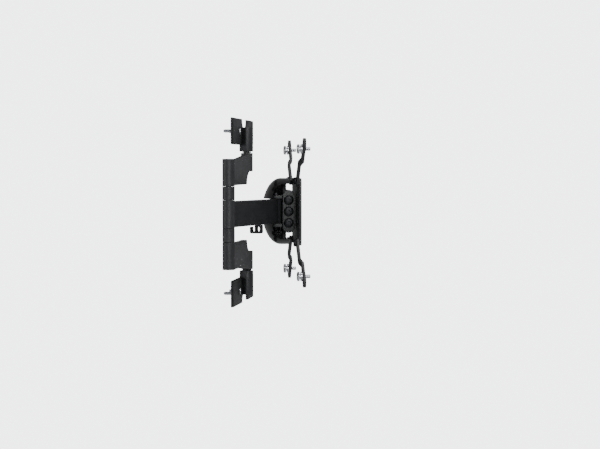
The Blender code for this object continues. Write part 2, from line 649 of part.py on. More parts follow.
def arc_slot(name, centre, radius, middle, half_sweep, half_width):
    """A curved slot about the tilt axis, as a cutter along X."""
    outer = arc(centre, radius + half_width, middle - half_sweep, middle + half_sweep, 8)
    inner = arc(centre, radius - half_width, middle + half_sweep, middle - half_sweep, 8)
    turn = math.radians(middle + half_sweep)
    end = (centre[0] + radius * math.cos(turn), centre[1] + radius * math.sin(turn))
    first = math.radians(middle - half_sweep)
    start = (centre[0] + radius * math.cos(first), centre[1] + radius * math.sin(first))
    outline = outer + arc(end, half_width, middle + half_sweep, middle + half_sweep + 180, 8)[1:-1]
    outline += inner + arc(start, half_width, middle - half_sweep + 180, middle - half_sweep + 360, 8)[1:-1]
    return prism(name, outline, -0.05, 0.05, "x", helper=True)


def tilt_bracket(materials, tilt_axis):
    """Two long cheeks outside the block and the base that carries the plate. Origin on the tilt axis."""
    inner = BLOCK_HALF + GAP
    outer = inner + CHEEK_THICK
    base_front = -(TV_FACE - TILT_OUT - PLATE_THICK - GAP)
    base_back = base_front + BASE_THICK
    middle = inner + CHEEK_THICK / 2
    base = prism("tilt_bracket", box_outline(-middle, middle, -BASE_HALF_HEIGHT + STEP, BASE_HALF_HEIGHT - STEP),
                 base_front, base_back, "y", materials["coat"], tilt_axis)
    round_radius = CHEEK_WIDTH / 2
    straight = CHEEK_HALF_HEIGHT - round_radius
    outline = arc((0.0, straight), round_radius, 0, 180, 12)
    outline += [(-round_radius, BASE_HALF_HEIGHT), (base_front + STEP, BASE_HALF_HEIGHT),
                (base_front + STEP, -BASE_HALF_HEIGHT), (-round_radius, -BASE_HALF_HEIGHT)]
    outline += arc((0.0, -straight), round_radius, 180, 360, 12)
    for end in END_NAMES:
        low, high = sorted((end * inner, end * outer))
        join(base, prism(f"tilt_bracket_{END_NAMES[end]}_cheek", outline, low, high, "x", helper=True))
    slots = [arc_slot(f"tilt_bracket_slot_{step}", (0.0, 0.0), TILT_BOLT_STEP, step * 90.0,
                      TILT_MOST + 1.5, TILT_BOLT_RADIUS + GAP) for step in (-1, 1)]
    pivot = disc("tilt_bracket_pivot", bore(TILT_BOLT_RADIUS), -0.05, 0.05, axis="x", helper=True)
    cut(base, pivot, *slots)


def television_plate(materials, tilt_axis):
    front = -(TV_FACE - TILT_OUT)
    plate = prism("television_plate", rounded_outline(-PLATE_HALF, PLATE_HALF, -PLATE_HALF, PLATE_HALF, PLATE_CORNER),
                  front, front + PLATE_THICK, "y", materials["coat"], tilt_axis)
    holes = []
    for end in END_NAMES:
        holes.append(prism(f"plate_slot_{END_NAMES[end]}", obround((end * 0.0260, -0.0040), 0.0110, 0.0026),
                           -0.05, 0.05, "y", helper=True))
        for side in SIDE_NAMES:
            tag = f"{SIDE_NAMES[side]}_{END_NAMES[end]}"
            holes.append(disc(f"plate_clamp_hole_{tag}", CLAMP_RADIUS + GAP, -0.05, 0.05,
                              (end * ARM_PIVOT, side * ARM_PIVOT), "y", helper=True, sides=SCREW_SIDES))
            holes.append(disc(f"plate_spare_hole_{tag}", 0.0028, -0.05, 0.05,
                              (end * 0.0375, side * 0.0375), "y", helper=True, sides=SCREW_SIDES))
    cut(plate, *holes)


def television_arm(side, end, materials, arm_axis):
    """A strip from the plate's corner out to the screw. Its frame has X along the strip and Z across it."""
    name = f"{SIDE_NAMES[side]}_{END_NAMES[end]}_tv_arm"
    plate_back = -(TV_FACE - TILT_OUT) + PLATE_THICK
    inner_front = plate_back + GAP
    outer_front = -(TV_FACE - TILT_OUT)
    thick = TV_ARM_THICK
    diagonal = math.sqrt(2.0)
    joggle = (TV_ARM_JOGGLE - ARM_PIVOT) * diagonal
    tip = (TV_ARM_TIP - ARM_PIVOT) * diagonal
    reach = tip + TV_ARM_TIP_RADIUS
    start, stop = joggle - 0.004, joggle + 0.004
    profile = [(-0.02, inner_front), (start, inner_front), (stop, outer_front), (reach + 0.01, outer_front),
               (reach + 0.01, outer_front + thick), (stop, outer_front + thick), (start, inner_front + thick),
               (-0.02, inner_front + thick)]
    width = 2 * TV_ARM_TIP_RADIUS
    strip = prism(name, profile, -width, width, "z", materials["coat"], arm_axis)
    waist_start, waist_stop = 0.014, tip - 0.020
    plan = arc((0.0, 0.0), TV_ARM_INNER_RADIUS, 90, 270, 12)
    plan += [(waist_start, -TV_ARM_WAIST), (waist_stop, -TV_ARM_WAIST)]
    plan += arc((tip, 0.0), TV_ARM_TIP_RADIUS, -90, 90, 12)
    plan += [(waist_stop, TV_ARM_WAIST), (waist_start, TV_ARM_WAIST)]
    trim = prism(f"{name}_trim", plan, -0.1, 0.1, "y", helper=True)
    trim.parent = arm_axis
    boolean(strip, trim, "INTERSECT")
    pivot = disc(f"{name}_pivot", bore(CLAMP_RADIUS), -0.1, 0.1, axis="y", helper=True)
    screw_at = (TV_HOLE - ARM_PIVOT) * diagonal
    slot = prism(f"{name}_slot", obround((screw_at + 0.0020, 0.0), TV_SLOT, TV_SCREW_RADIUS + GAP, upright=False),
                 -0.1, 0.1, "y", helper=True)
    cut(strip, pivot, slot)


def clamp_screw(side, end, materials, tilt_axis):
    """Clamps an arm's inner end to the plate. The arm turns on it."""
    centre = (end * ARM_PIVOT, side * ARM_PIVOT)
    front = -(TV_FACE - TILT_OUT) + GAP
    seat = -(TV_FACE - TILT_OUT) + PLATE_THICK + GAP + TV_ARM_THICK + GAP
    head = seat + CLAMP_HEAD_HEIGHT
    name = f"{SIDE_NAMES[side]}_{END_NAMES[end]}_clamp_screw"
    profile = [(0.0, front), (CLAMP_RADIUS, front), (CLAMP_RADIUS, seat), (CLAMP_HEAD_RADIUS, seat),
               (CLAMP_HEAD_RADIUS, head - 0.0010), (CLAMP_HEAD_RADIUS * 0.8, head), (0.0, head)]
    screw = turned(name, profile, centre, "y", material=materials["steel"], parent=tilt_axis, sides=SCREW_SIDES)
    socket = prism(f"{name}_socket", hex_outline(centre, 0.0024), head - 0.0022, head + 0.01, "y", helper=True)
    cut(screw, socket)


def television_screw(side, end, materials, arm_axis):
    """A long screw with a round head standing off the arm on its collar, along the arm frame's Y."""
    centre = ((TV_HOLE - ARM_PIVOT) * math.sqrt(2.0), 0.0)
    face = -(TV_FACE - TILT_OUT)
    seat = face + TV_ARM_THICK + GAP
    head = face + TV_SCREW_STAND
    name = f"{SIDE_NAMES[side]}_{END_NAMES[end]}_tv_screw"
    profile = [
        (0.0, face - TV_SCREW_BITE), (TV_SCREW_RADIUS, face - TV_SCREW_BITE), (TV_SCREW_RADIUS, seat),
        (TV_SCREW_HEAD, seat), (TV_SCREW_HEAD, seat + 0.0026), (TV_SCREW_RADIUS + 0.0010, seat + 0.0026),
        (TV_SCREW_RADIUS + 0.0010, head - 0.0038), (TV_SCREW_HEAD, head - 0.0038),
        (TV_SCREW_HEAD, head - 0.0010), (TV_SCREW_HEAD * 0.8, head), (0.0, head),
    ]
    screw = turned(name, profile, centre, "y", material=materials["zinc"], parent=arm_axis, sides=SCREW_SIDES)
    socket = prism(f"{name}_socket", hex_outline(centre, 0.0030), head - 0.0026, head + 0.01, "y", helper=True)
    cut(screw, socket)


# Assembly


def build_wall_side(materials):
    for side in SIDE_NAMES:
        wall_bracket(side, materials)
        hinge_pin(side, materials)
        for end in END_NAMES:
            bracket_cover(side, end, materials)
            wall_screws(side, end, materials)


def build_links(materials, wall_axis):
    for side in SIDE_NAMES:
        inner_link(side, materials, wall_axis)
        hinge_fittings(side, materials, wall_axis)
    elbow_bolt(materials, wall_axis)


def build_head(materials, swivel_axis, tilt_axis):
    swivel_yoke(materials, swivel_axis)
    swivel_bolt(materials, swivel_axis)
    tilt_bolts(materials, swivel_axis)
    dome_cover(materials, swivel_axis)
    tilt_bracket(materials, tilt_axis)
    television_plate(materials, tilt_axis)
    for side in SIDE_NAMES:
        for end in END_NAMES:
            clamp_screw(side, end, materials, tilt_axis)
            name = f"{SIDE_NAMES[side]}_{END_NAMES[end]}_arm_axis"
            arm_axis = axis_empty(name, (end * ARM_PIVOT, 0.0, side * ARM_PIVOT), parent=tilt_axis)
            across = math.atan2(side, end)
            arm_axis.rotation_euler = (0.0, -across, 0.0)
            television_arm(side, end, materials, arm_axis)
            television_screw(side, end, materials, arm_axis)


def main():
    clear_scene()
    materials = make_materials()
    wall_axis = axis_empty("wall_hinge_axis", (0.0, -HINGE_OUT, 0.0))
    elbow_axis = axis_empty("elbow_axis", ELBOW, ARM_TURN)
    swivel_axis = axis_empty("swivel_axis", SWIVEL, HEAD_TURN)
    tilt_axis = axis_empty("tilt_axis", (0.0, -TILT_OUT, 0.0), parent=swivel_axis)
    build_wall_side(materials)
    build_links(materials, wall_axis)
    middle_arm(materials, elbow_axis)
    cable_clip(materials, elbow_axis)
    build_head(materials, swivel_axis, tilt_axis)


main()
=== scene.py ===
"""Full motion television wall mount, half folded, in its visible finish.

The mount hangs on the plane Y = 0 and stands out towards -Y. Upper and lower halves mirror each other.
"""

import json
import math

import bpy
from mathutils import Matrix, Vector


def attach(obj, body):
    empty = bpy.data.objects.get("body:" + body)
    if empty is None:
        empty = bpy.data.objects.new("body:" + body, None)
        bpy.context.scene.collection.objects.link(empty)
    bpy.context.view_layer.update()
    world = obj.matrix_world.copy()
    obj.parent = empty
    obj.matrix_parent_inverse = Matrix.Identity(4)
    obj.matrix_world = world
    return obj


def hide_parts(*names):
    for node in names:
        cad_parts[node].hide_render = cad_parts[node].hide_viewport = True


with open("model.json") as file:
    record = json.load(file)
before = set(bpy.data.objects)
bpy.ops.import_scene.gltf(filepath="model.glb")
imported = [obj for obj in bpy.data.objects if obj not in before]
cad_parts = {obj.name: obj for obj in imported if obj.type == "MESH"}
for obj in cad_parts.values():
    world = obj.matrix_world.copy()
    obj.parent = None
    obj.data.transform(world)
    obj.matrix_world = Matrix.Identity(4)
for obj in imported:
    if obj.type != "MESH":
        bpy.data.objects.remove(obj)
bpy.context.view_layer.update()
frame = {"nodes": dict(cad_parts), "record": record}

# Sizes of the mount, in metres
BRACKET_CENTRE = 0.030
LOBE_ENDS = {-1: -0.090, 1: 0.1185}
BRACKET_LOW = 0.1075
BRACKET_HIGH = 0.150
BRACKET_THICK = 0.0026
LOBE_INNER = 0.0610
LOBE_CORNER = 0.004
WEB_THICK = 0.0048
NOTCH_HALF = 0.032
NOTCH_DEPTH = 0.0135
NOTCH_CORNER = 0.0125
STEM_HALF = 0.034
COVER_MARGIN = 0.0006
COVER_WALL = 0.0022
COVER_TOP = 0.0009
HINGE_OUT = 0.012
BARREL_RADIUS = 0.0103
BARREL_LOW = 0.0970
BARREL_HIGH = 0.1360
PIN_CAP = 0.0030
PIN_RADIUS = 0.0045
SCREW_ROW = 0.12875
INNER_SCREW_OFF = 0.049
OUTER_SCREW_IN = 0.0185
POCKET_DEPTH = 0.0026
POCKET_RADIUS = 0.0076
SHANK_RADIUS = 0.0030
SCREW_HEAD_RADIUS = 0.0062
SCREW_TIP = 0.014

LINK_LENGTH = 0.180
LINK_THICK = 0.0186
LINK_BACK = 0.0005
KNUCKLE_RADIUS = 0.0097
KNUCKLE_HIGH = 0.0945
KNUCKLE_LOW = 0.0646
COLUMN_RADIUS = 0.00945
COLUMN_HIGH = 0.0842
LINK_LOW = 0.0423
ARM_KNUCKLE_HIGH = 0.0216
BOLT_RADIUS = 0.0040
CAP_SINK = 0.0005

ARM_LENGTH = 0.192
ARM_HALF = 0.01975
ARM_THICK = 0.0160
ARM_END_RADIUS = 0.0110
CLIP_AT = 0.116
CLIP_LENGTH = 0.010
CLIP_HEIGHT = 0.0135
CLIP_WALL = 0.0025
CLIP_CHANNEL = 0.0058

TV_FACE = 0.0366
TILT_OUT = 0.0194
EAR_RADIUS = 0.0120
EAR_THICK = 0.0060
WEB_BACK = 0.0120
BLOCK_HALF = 0.0146
BLOCK_ROUND = 0.0055
TILT_STEP = 0.0183
TILT_BOLT_RADIUS = 0.0025
TILT_HEAD_RADIUS = 0.0078
TILT_HEAD_HEIGHT = 0.0042
CHEEK_THICK = 0.0030
CHEEK_WIDTH = 0.0197
CHEEK_HALF = 0.0350
BASE_THICK = 0.0030
BASE_HALF = 0.0220
DOME_RADIUS = 0.0540
DOME_RIM = 0.0204
DOME_SKIRT = 0.0124
DOME_ROUND = 0.0300
DOME_WALL = 0.0030
LINING_WITHIN = 0.94   # of the outer surface's size, squared
DOME_BAND = 0.0095

PLATE_HALF = 0.0540
PLATE_THICK = 0.0040
PLATE_CORNER = 0.0060
ARM_PIVOT = 0.0500
TV_HOLE = 0.1000
STRIP_THICK = 0.0045
STRIP_INNER = 0.0080
STRIP_WAIST = 0.0060
STRIP_TIP_RADIUS = 0.0090
STRIP_TIP = 0.1080
JOGGLE = 0.0800
CLAMP_RADIUS = 0.0025
TV_SCREW_RADIUS = 0.0030
TV_SCREW_HEAD = 0.0075
TV_SCREW_STAND = 0.0130
TV_SCREW_BITE = 0.0080

GAP = 0.0003
FINE = 0.0002
ROUND = 64
BOLT_ROUND = 40
DOME_ROUND_STEPS = 128

DIAGONAL = math.sqrt(2.0)
SIDES = {"upper": 1, "lower": -1}
ENDS = {"near": -1, "far": 1}


def turned_about(axis, degrees):
    return Matrix.Rotation(math.radians(degrees), 4, axis)


WALL_LINE = Matrix.Translation((0.0, -HINGE_OUT, 0.0))
ELBOW = Matrix.Translation((-LINK_LENGTH, -HINGE_OUT, 0.0)) @ turned_about("Z", -14.0)
SWIVEL_POINT = ELBOW @ Vector((ARM_LENGTH, 0.0, 0.0))
HEAD = Matrix.Translation(SWIVEL_POINT) @ turned_about("Z", 13.5)
TILT = HEAD @ Matrix.Translation((0.0, -TILT_OUT, 0.0))
OVER = Matrix.Diagonal((1.0, 1.0, -1.0, 1.0))

record = frame["record"]
BODY_OF = {node: body for body, held in record["behaviour"]["bodies"].items() for node in held}
SLOT_OF = {entry["node"]: entry["material_slot"] for entry in record["subparts"]}


# Working by hand


def let_go():
    if bpy.context.mode != "OBJECT":
        bpy.ops.object.mode_set(mode="OBJECT")
    bpy.ops.object.select_all(action="DESELECT")


def take(piece):
    let_go()
    piece.select_set(True)
    bpy.context.view_layer.objects.active = piece


def settle(piece, place=None):
    """Puts the piece's place into its mesh and leaves its origin at the row's origin."""
    if place is not None:
        piece.matrix_world = place @ piece.matrix_world
    take(piece)
    bpy.ops.object.transform_apply(location=True, rotation=True, scale=True)
    return piece


def face_outwards(piece):
    take(piece)
    bpy.ops.object.mode_set(mode="EDIT")
    bpy.ops.mesh.select_all(action="SELECT")
    bpy.ops.mesh.remove_doubles(threshold=1e-6)
    bpy.ops.mesh.normals_make_consistent(inside=False)
    bpy.ops.object.mode_set(mode="OBJECT")
    return piece


def at(axis, a, b, along):
    return {"z": (a, b, along), "y": (a, along, b), "x": (along, a, b)}[axis]


def draw(name, points, filled):
    """Draws a line from point to point, starting from a small plane merged to its middle."""
    let_go()
    bpy.ops.mesh.primitive_plane_add(size=0.002, location=points[0])
    piece = bpy.context.active_object
    piece.name = name
    bpy.ops.object.mode_set(mode="EDIT")
    bpy.ops.mesh.select_mode(type="VERT")
    bpy.ops.mesh.merge(type="CENTER")
    for here, there in zip(points, points[1:]):
        step = Vector(there) - Vector(here)
        if step.length > 1e-6:
            bpy.ops.mesh.extrude_vertices_move(TRANSFORM_OT_translate={"value": step})
    bpy.ops.mesh.select_all(action="SELECT")
    if filled:
        bpy.ops.mesh.edge_face_add()
    return piece


def slab(name, outline, low, high, axis):
    """A drawn outline pulled out to a solid."""
    piece = draw(name, [at(axis, a, b, low) for a, b in outline], True)
    pull = Vector(at(axis, 0.0, 0.0, high - low))
    bpy.ops.mesh.extrude_region_move(TRANSFORM_OT_translate={"value": pull})
    bpy.ops.object.mode_set(mode="OBJECT")
    return face_outwards(settle(piece))


def turn(name, profile, centre=(0.0, 0.0), axis="z", steps=ROUND, ring=False):
    """A drawn profile of (radius, height) points spun round an axis through centre."""
    closing = profile[:1] if ring else []
    line = [at(axis, centre[0] + radius, centre[1], height) for radius, height in profile + closing]
    piece = draw(name, line, False)
    bpy.ops.mesh.spin(steps=steps, angle=math.tau, center=at(axis, *centre, 0.0),
                      axis=at(axis, 0.0, 0.0, 1.0))
    bpy.ops.object.mode_set(mode="OBJECT")
    return face_outwards(settle(piece))


def rod(name, radius, low, high, centre=(0.0, 0.0), axis="z", steps=ROUND, edge=0.0):
    low, high = min(low, high), max(low, high)
    profile = [(0.0, low), (radius - edge, low), (radius, low + edge), (radius, high - edge),
               (radius - edge, high), (0.0, high)]
    if not edge:
        profile = [profile[0], profile[1], profile[4], profile[5]]
    return turn(name, profile, centre, axis, steps)


def combine(piece, operation, *tools):
    for tool in tools:
        take(piece)
        step = piece.modifiers.new("combine", "BOOLEAN")
        step.operation, step.solver, step.object = operation, "EXACT", tool
        bpy.ops.object.modifier_apply(modifier=step.name)
        bpy.data.objects.remove(tool)
    return piece


def cut(piece, *tools):
    return combine(piece, "DIFFERENCE", *tools)


def join(piece, *tools):
    return combine(piece, "UNION", *tools)


def soften(piece, width, segments=3, angle=38):
    """Rounds every edge sharper than the angle."""
    take(piece)
    step = piece.modifiers.new("soften", "BEVEL")
    step.width, step.segments = width, segments
    step.limit_method, step.angle_limit = "ANGLE", math.radians(angle)
    step.use_clamp_overlap = True
    bpy.ops.object.modifier_apply(modifier=step.name)
    return piece


def copied(piece, name, place):
    """A copy with its own mesh, put in place."""
    other = piece.copy()
    other.data = piece.data.copy()
    other.name = name
    bpy.context.scene.collection.objects.link(other)
    settle(other, place)
    return face_outwards(other) if place.determinant() < 0 else other


def arc(centre, radius, start, end, steps=8):
    turns = [math.radians(start + (end - start) * step / steps) for step in range(steps + 1)]
    return [(centre[0] + radius * math.cos(t), centre[1] + radius * math.sin(t)) for t in turns]


def rounded(a_low, a_high, b_low, b_high, radius, steps=6):
    return (arc((a_high - radius, b_low + radius), radius, -90, 0, steps)
            + arc((a_high - radius, b_high - radius), radius, 0, 90, steps)
            + arc((a_low + radius, b_high - radius), radius, 90, 180, steps)
            + arc((a_low + radius, b_low + radius), radius, 180, 270, steps))


def obround(centre, half, radius, upright=True, steps=12):
    a, b = centre
    if upright:
        return (arc((a, b + half), radius, 0, 180, steps) + arc((a, b - half), radius, 180, 360, steps))
    return arc((a + half, b), radius, -90, 90, steps) + arc((a - half, b), radius, 90, 270, steps)


def hexagon(radius, centre=(0.0, 0.0)):
    return arc(centre, radius, 0, 300, 5)


def threads(radius, low, high, pitch, depth=0.0004):
    """Profile points of a screw's ridges, from low to high."""
    points, at_height = [], low
    while at_height + pitch <= high:
        points += [(radius - depth, at_height + 0.15 * pitch), (radius, at_height + 0.45 * pitch),
                   (radius, at_height + 0.6 * pitch), (radius - depth, at_height + 0.9 * pitch)]
        at_height += pitch
    return points


# Finishes


def new_group(name, inputs, outputs):
    group = bpy.data.node_groups.new(name, "ShaderNodeTree")
    for label, kind, value in inputs:
        socket = group.interface.new_socket(name=label, in_out="INPUT", socket_type=kind)
        if value is not None:
            socket.default_value = value
    for label, kind in outputs:
        group.interface.new_socket(name=label, in_out="OUTPUT", socket_type=kind)
    return group, group.nodes.new("NodeGroupInput"), group.nodes.new("NodeGroupOutput")


def noise(tree, vector, scale, detail=3.0, roughness=0.55):
    node = tree.nodes.new("ShaderNodeTexNoise")
    node.inputs["Detail"].default_value = detail
    node.inputs["Roughness"].default_value = roughness
    tree.links.new(vector, node.inputs["Vector"])
    if isinstance(scale, (int, float)):
        node.inputs["Scale"].default_value = scale
    else:
        tree.links.new(scale, node.inputs["Scale"])
    return node.outputs["Fac"]


def spread(tree, value, low, high, to_low=0.0, to_high=1.0):
    node = tree.nodes.new("ShaderNodeMapRange")
    for label, number in (("From Min", low), ("From Max", high), ("To Min", to_low), ("To Max", to_high)):
        node.inputs[label].default_value = number
    tree.links.new(value, node.inputs["Value"])
    return node.outputs["Result"]


def sums(tree, operation, first, second):
    node = tree.nodes.new("ShaderNodeMath")
    node.operation = operation
    for socket, value in zip(node.inputs, (first, second)):
        if isinstance(value, (int, float)):
            socket.default_value = value
        else:
            tree.links.new(value, socket)
    return node.outputs[0]


def blend_colours(tree, share, first, second):
    node = tree.nodes.new("ShaderNodeMix")
    node.data_type = "RGBA"
    tree.links.new(share, node.inputs["Factor"])
    for label, value in (("A", first), ("B", second)):
        socket = [item for item in node.inputs if item.name == label and item.type == "RGBA"][0]
        if isinstance(value, tuple):
            socket.default_value = (*value, 1.0)
        else:
            tree.links.new(value, socket)
    return [item for item in node.outputs if item.type == "RGBA"][0]


def grain_group():
    """Fine grain and slow clouding, for coats, mouldings and plating."""
    group, given, out = new_group(
        "grain and clouding",
        [("Vector", "NodeSocketVector", None), ("Grain Scale", "NodeSocketFloat", 1400.0),
         ("Cloud Scale", "NodeSocketFloat", 45.0)],
        [("Grain", "NodeSocketFloat"), ("Cloud", "NodeSocketFloat")])
    vector = given.outputs["Vector"]
    fine = noise(group, vector, given.outputs["Grain Scale"], 2.0)
    slow = noise(group, vector, given.outputs["Cloud Scale"], 4.0, 0.6)
    group.links.new(spread(group, fine, 0.25, 0.75), out.inputs["Grain"])
    group.links.new(spread(group, slow, 0.3, 0.7), out.inputs["Cloud"])
    return group


def dust_group():
    """A little dust on what faces up, broken up by noise."""
    group, given, out = new_group(
        "settled dust",
        [("Vector", "NodeSocketVector", None), ("Facing", "NodeSocketVector", None),
         ("Amount", "NodeSocketFloat", 0.2)],
        [("Dust", "NodeSocketFloat")])
    split = group.nodes.new("ShaderNodeSeparateXYZ")
    group.links.new(given.outputs["Facing"], split.inputs[0])
    up = spread(group, split.outputs["Z"], 0.35, 1.0)
    speckle = spread(group, noise(group, given.outputs["Vector"], 220.0, 5.0, 0.65), 0.42, 0.68)
    total = sums(group, "MULTIPLY", sums(group, "MULTIPLY", up, speckle), given.outputs["Amount"])
    group.links.new(total, out.inputs["Dust"])
    return group


def scratches_group():
    """Fine rubbing marks that run across the surface in one direction."""
    group, given, out = new_group(
        "rubbing marks",
        [("Vector", "NodeSocketVector", None), ("Along", "NodeSocketVector", (1.0, 1.0, 1.0))],
        [("Marks", "NodeSocketFloat")])
    stretch = group.nodes.new("ShaderNodeVectorMath")
    stretch.operation = "MULTIPLY"
    group.links.new(given.outputs["Vector"], stretch.inputs[0])
    group.links.new(given.outputs["Along"], stretch.inputs[1])
    lines = noise(group, stretch.outputs[0], 60.0, 6.0, 0.75)
    group.links.new(spread(group, lines, 0.35, 0.65), out.inputs["Marks"])
    return group


GRAIN = grain_group()
DUST = dust_group()
RUBBING = scratches_group()
DUST_COLOUR = (0.22, 0.21, 0.20)


class Finish:
    """One material being wired up."""

    def __init__(self, name):
        self.material = bpy.data.materials.new(name)
        self.material.use_nodes = True
        self.tree = self.material.node_tree
        self.shader = self.tree.nodes["Principled BSDF"]
        self.place = self.tree.nodes.new("ShaderNodeTexCoord").outputs["Object"]
        self.facing = self.tree.nodes.new("ShaderNodeNewGeometry").outputs["Normal"]

    def group(self, group, **values):
        node = self.tree.nodes.new("ShaderNodeGroup")
        node.node_tree = group
        self.tree.links.new(self.place, node.inputs["Vector"])
        for label, value in values.items():
            node.inputs[label.replace("_", " ")].default_value = value
        return node

    def feed(self, label, value):
        self.tree.links.new(value, self.shader.inputs[label])

    def bump(self, height, distance, strength=1.0, before=None):
        node = self.tree.nodes.new("ShaderNodeBump")
        node.inputs["Distance"].default_value = distance
        node.inputs["Strength"].default_value = strength
        self.tree.links.new(height, node.inputs["Height"])
        if before is not None:
            self.tree.links.new(before, node.inputs["Normal"])
        self.feed("Normal", node.outputs["Normal"])
        return node.outputs["Normal"]


def coat_like(name, dark, light, rough_low, rough_high, grain, depth, dust, metallic=0.0, clouds=45.0):
    """A dark coat or moulding with grain in its colour, its gloss and its surface."""
    finish = Finish(name)
    marks = finish.group(GRAIN, Grain_Scale=grain, Cloud_Scale=clouds)
    settled = finish.group(DUST, Amount=dust)
    finish.tree.links.new(finish.facing, settled.inputs["Facing"])
    mixed = sums(finish.tree, "ADD", sums(finish.tree, "MULTIPLY", marks.outputs["Grain"], 0.35),
                 sums(finish.tree, "MULTIPLY", marks.outputs["Cloud"], 0.65))
    colour = blend_colours(finish.tree, mixed, dark, light)
    finish.feed("Base Color", blend_colours(finish.tree, settled.outputs["Dust"], colour, DUST_COLOUR))
    rough = spread(finish.tree, mixed, 0.0, 1.0, rough_low, rough_high)
    finish.feed("Roughness", sums(finish.tree, "ADD", rough, settled.outputs["Dust"]))
    finish.bump(marks.outputs["Grain"], depth)
    finish.shader.inputs["Metallic"].default_value = metallic
    return finish


def powder_coat():
    return coat_like("fine black powder coat", (0.019, 0.020, 0.022), (0.031, 0.032, 0.034), 0.36, 0.50,
                     1500.0, 0.00009, 0.10).material


def satin_moulding():
    return coat_like("satin black moulding", (0.014, 0.014, 0.016), (0.023, 0.023, 0.025), 0.40, 0.52,
                     2300.0, 0.00006, 0.12, clouds=30.0).material


def gloss_moulding():
    finish = coat_like("gloss black moulding", (0.006, 0.006, 0.007), (0.010, 0.010, 0.011), 0.07, 0.13,
                       320.0, 0.000006, 0.06, clouds=25.0)
    rubbed = finish.group(RUBBING, Along=(0.4, 0.4, 7.0))
    old = finish.shader.inputs["Roughness"].links[0].from_socket
    finish.feed("Roughness", sums(finish.tree, "ADD", old,
                                  sums(finish.tree, "MULTIPLY", rubbed.outputs["Marks"], 0.05)))
    finish.shader.inputs["Specular IOR Level"].default_value = 0.22
    finish.shader.inputs["Coat Weight"].default_value = 0.08
    finish.shader.inputs["Coat Roughness"].default_value = 0.05
    return finish.material


def plated(name, dark, light, rough_low, rough_high, along, dust):
    """Plated or blackened steel: clouded colour and drawn-out tool marks."""
    finish = Finish(name)
    marks = finish.group(GRAIN, Grain_Scale=2600.0, Cloud_Scale=260.0)
    lines = finish.group(RUBBING, Along=along)
    settled = finish.group(DUST, Amount=dust)
    finish.tree.links.new(finish.facing, settled.inputs["Facing"])
    shared = sums(finish.tree, "ADD", sums(finish.tree, "MULTIPLY", marks.outputs["Cloud"], 0.5),
                  sums(finish.tree, "MULTIPLY", lines.outputs["Marks"], 0.5))
    colour = blend_colours(finish.tree, shared, dark, light)
    finish.feed("Base Color", blend_colours(finish.tree, settled.outputs["Dust"], colour, DUST_COLOUR))
    finish.feed("Roughness", spread(finish.tree, shared, 0.0, 1.0, rough_low, rough_high))
    finish.bump(lines.outputs["Marks"], 0.00002)
    finish.shader.inputs["Metallic"].default_value = 1.0
    return finish.material


def nylon():
    finish = coat_like("natural nylon", (0.50, 0.49, 0.45), (0.62, 0.61, 0.57), 0.45, 0.6, 900.0, 0.00003,
                       0.0)
    finish.shader.inputs["Subsurface Weight"].default_value = 0.15
    finish.shader.inputs["Subsurface Radius"].default_value = (0.002, 0.002, 0.0016)
    return finish.material


FINISHES = {
    "powder_coated_metal": powder_coat(),
    "matte_plastic": satin_moulding(),
    "gloss_plastic": gloss_moulding(),
    "black_steel": plated("blackened steel", (0.020, 0.021, 0.023), (0.046, 0.047, 0.050), 0.36, 0.52,
                          (3.0, 3.0, 30.0), 0.08),
    "zinc_plated_steel": plated("bright zinc plate", (0.52, 0.54, 0.58), (0.80, 0.81, 0.82), 0.16, 0.34,
                                (5.0, 24.0, 24.0), 0.0),
    "nylon": nylon(),
}


def stand_in(piece, node):
    """The piece shows instead of a CAD node, on its body and in its finish."""
    take(piece)
    bpy.ops.object.shade_smooth_by_angle(angle=math.radians(32))
    piece.data.materials.clear()
    piece.data.materials.append(FINISHES[SLOT_OF[node]])
    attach(piece, BODY_OF[node])
    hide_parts(node)


# Wall brackets, their covers and screws


def stem_outline():
    outline = [(-LOBE_INNER, BRACKET_HIGH - FINE), (-LOBE_INNER, BRACKET_LOW + FINE),
               (-STEM_HALF, BRACKET_LOW + FINE), (-STEM_HALF, BARREL_LOW + FINE),
               (STEM_HALF, BARREL_LOW + FINE), (STEM_HALF, BRACKET_LOW + FINE),
               (LOBE_INNER, BRACKET_LOW + FINE), (LOBE_INNER, BRACKET_HIGH - FINE)]
    return [(BRACKET_CENTRE + a, b) for a, b in outline]


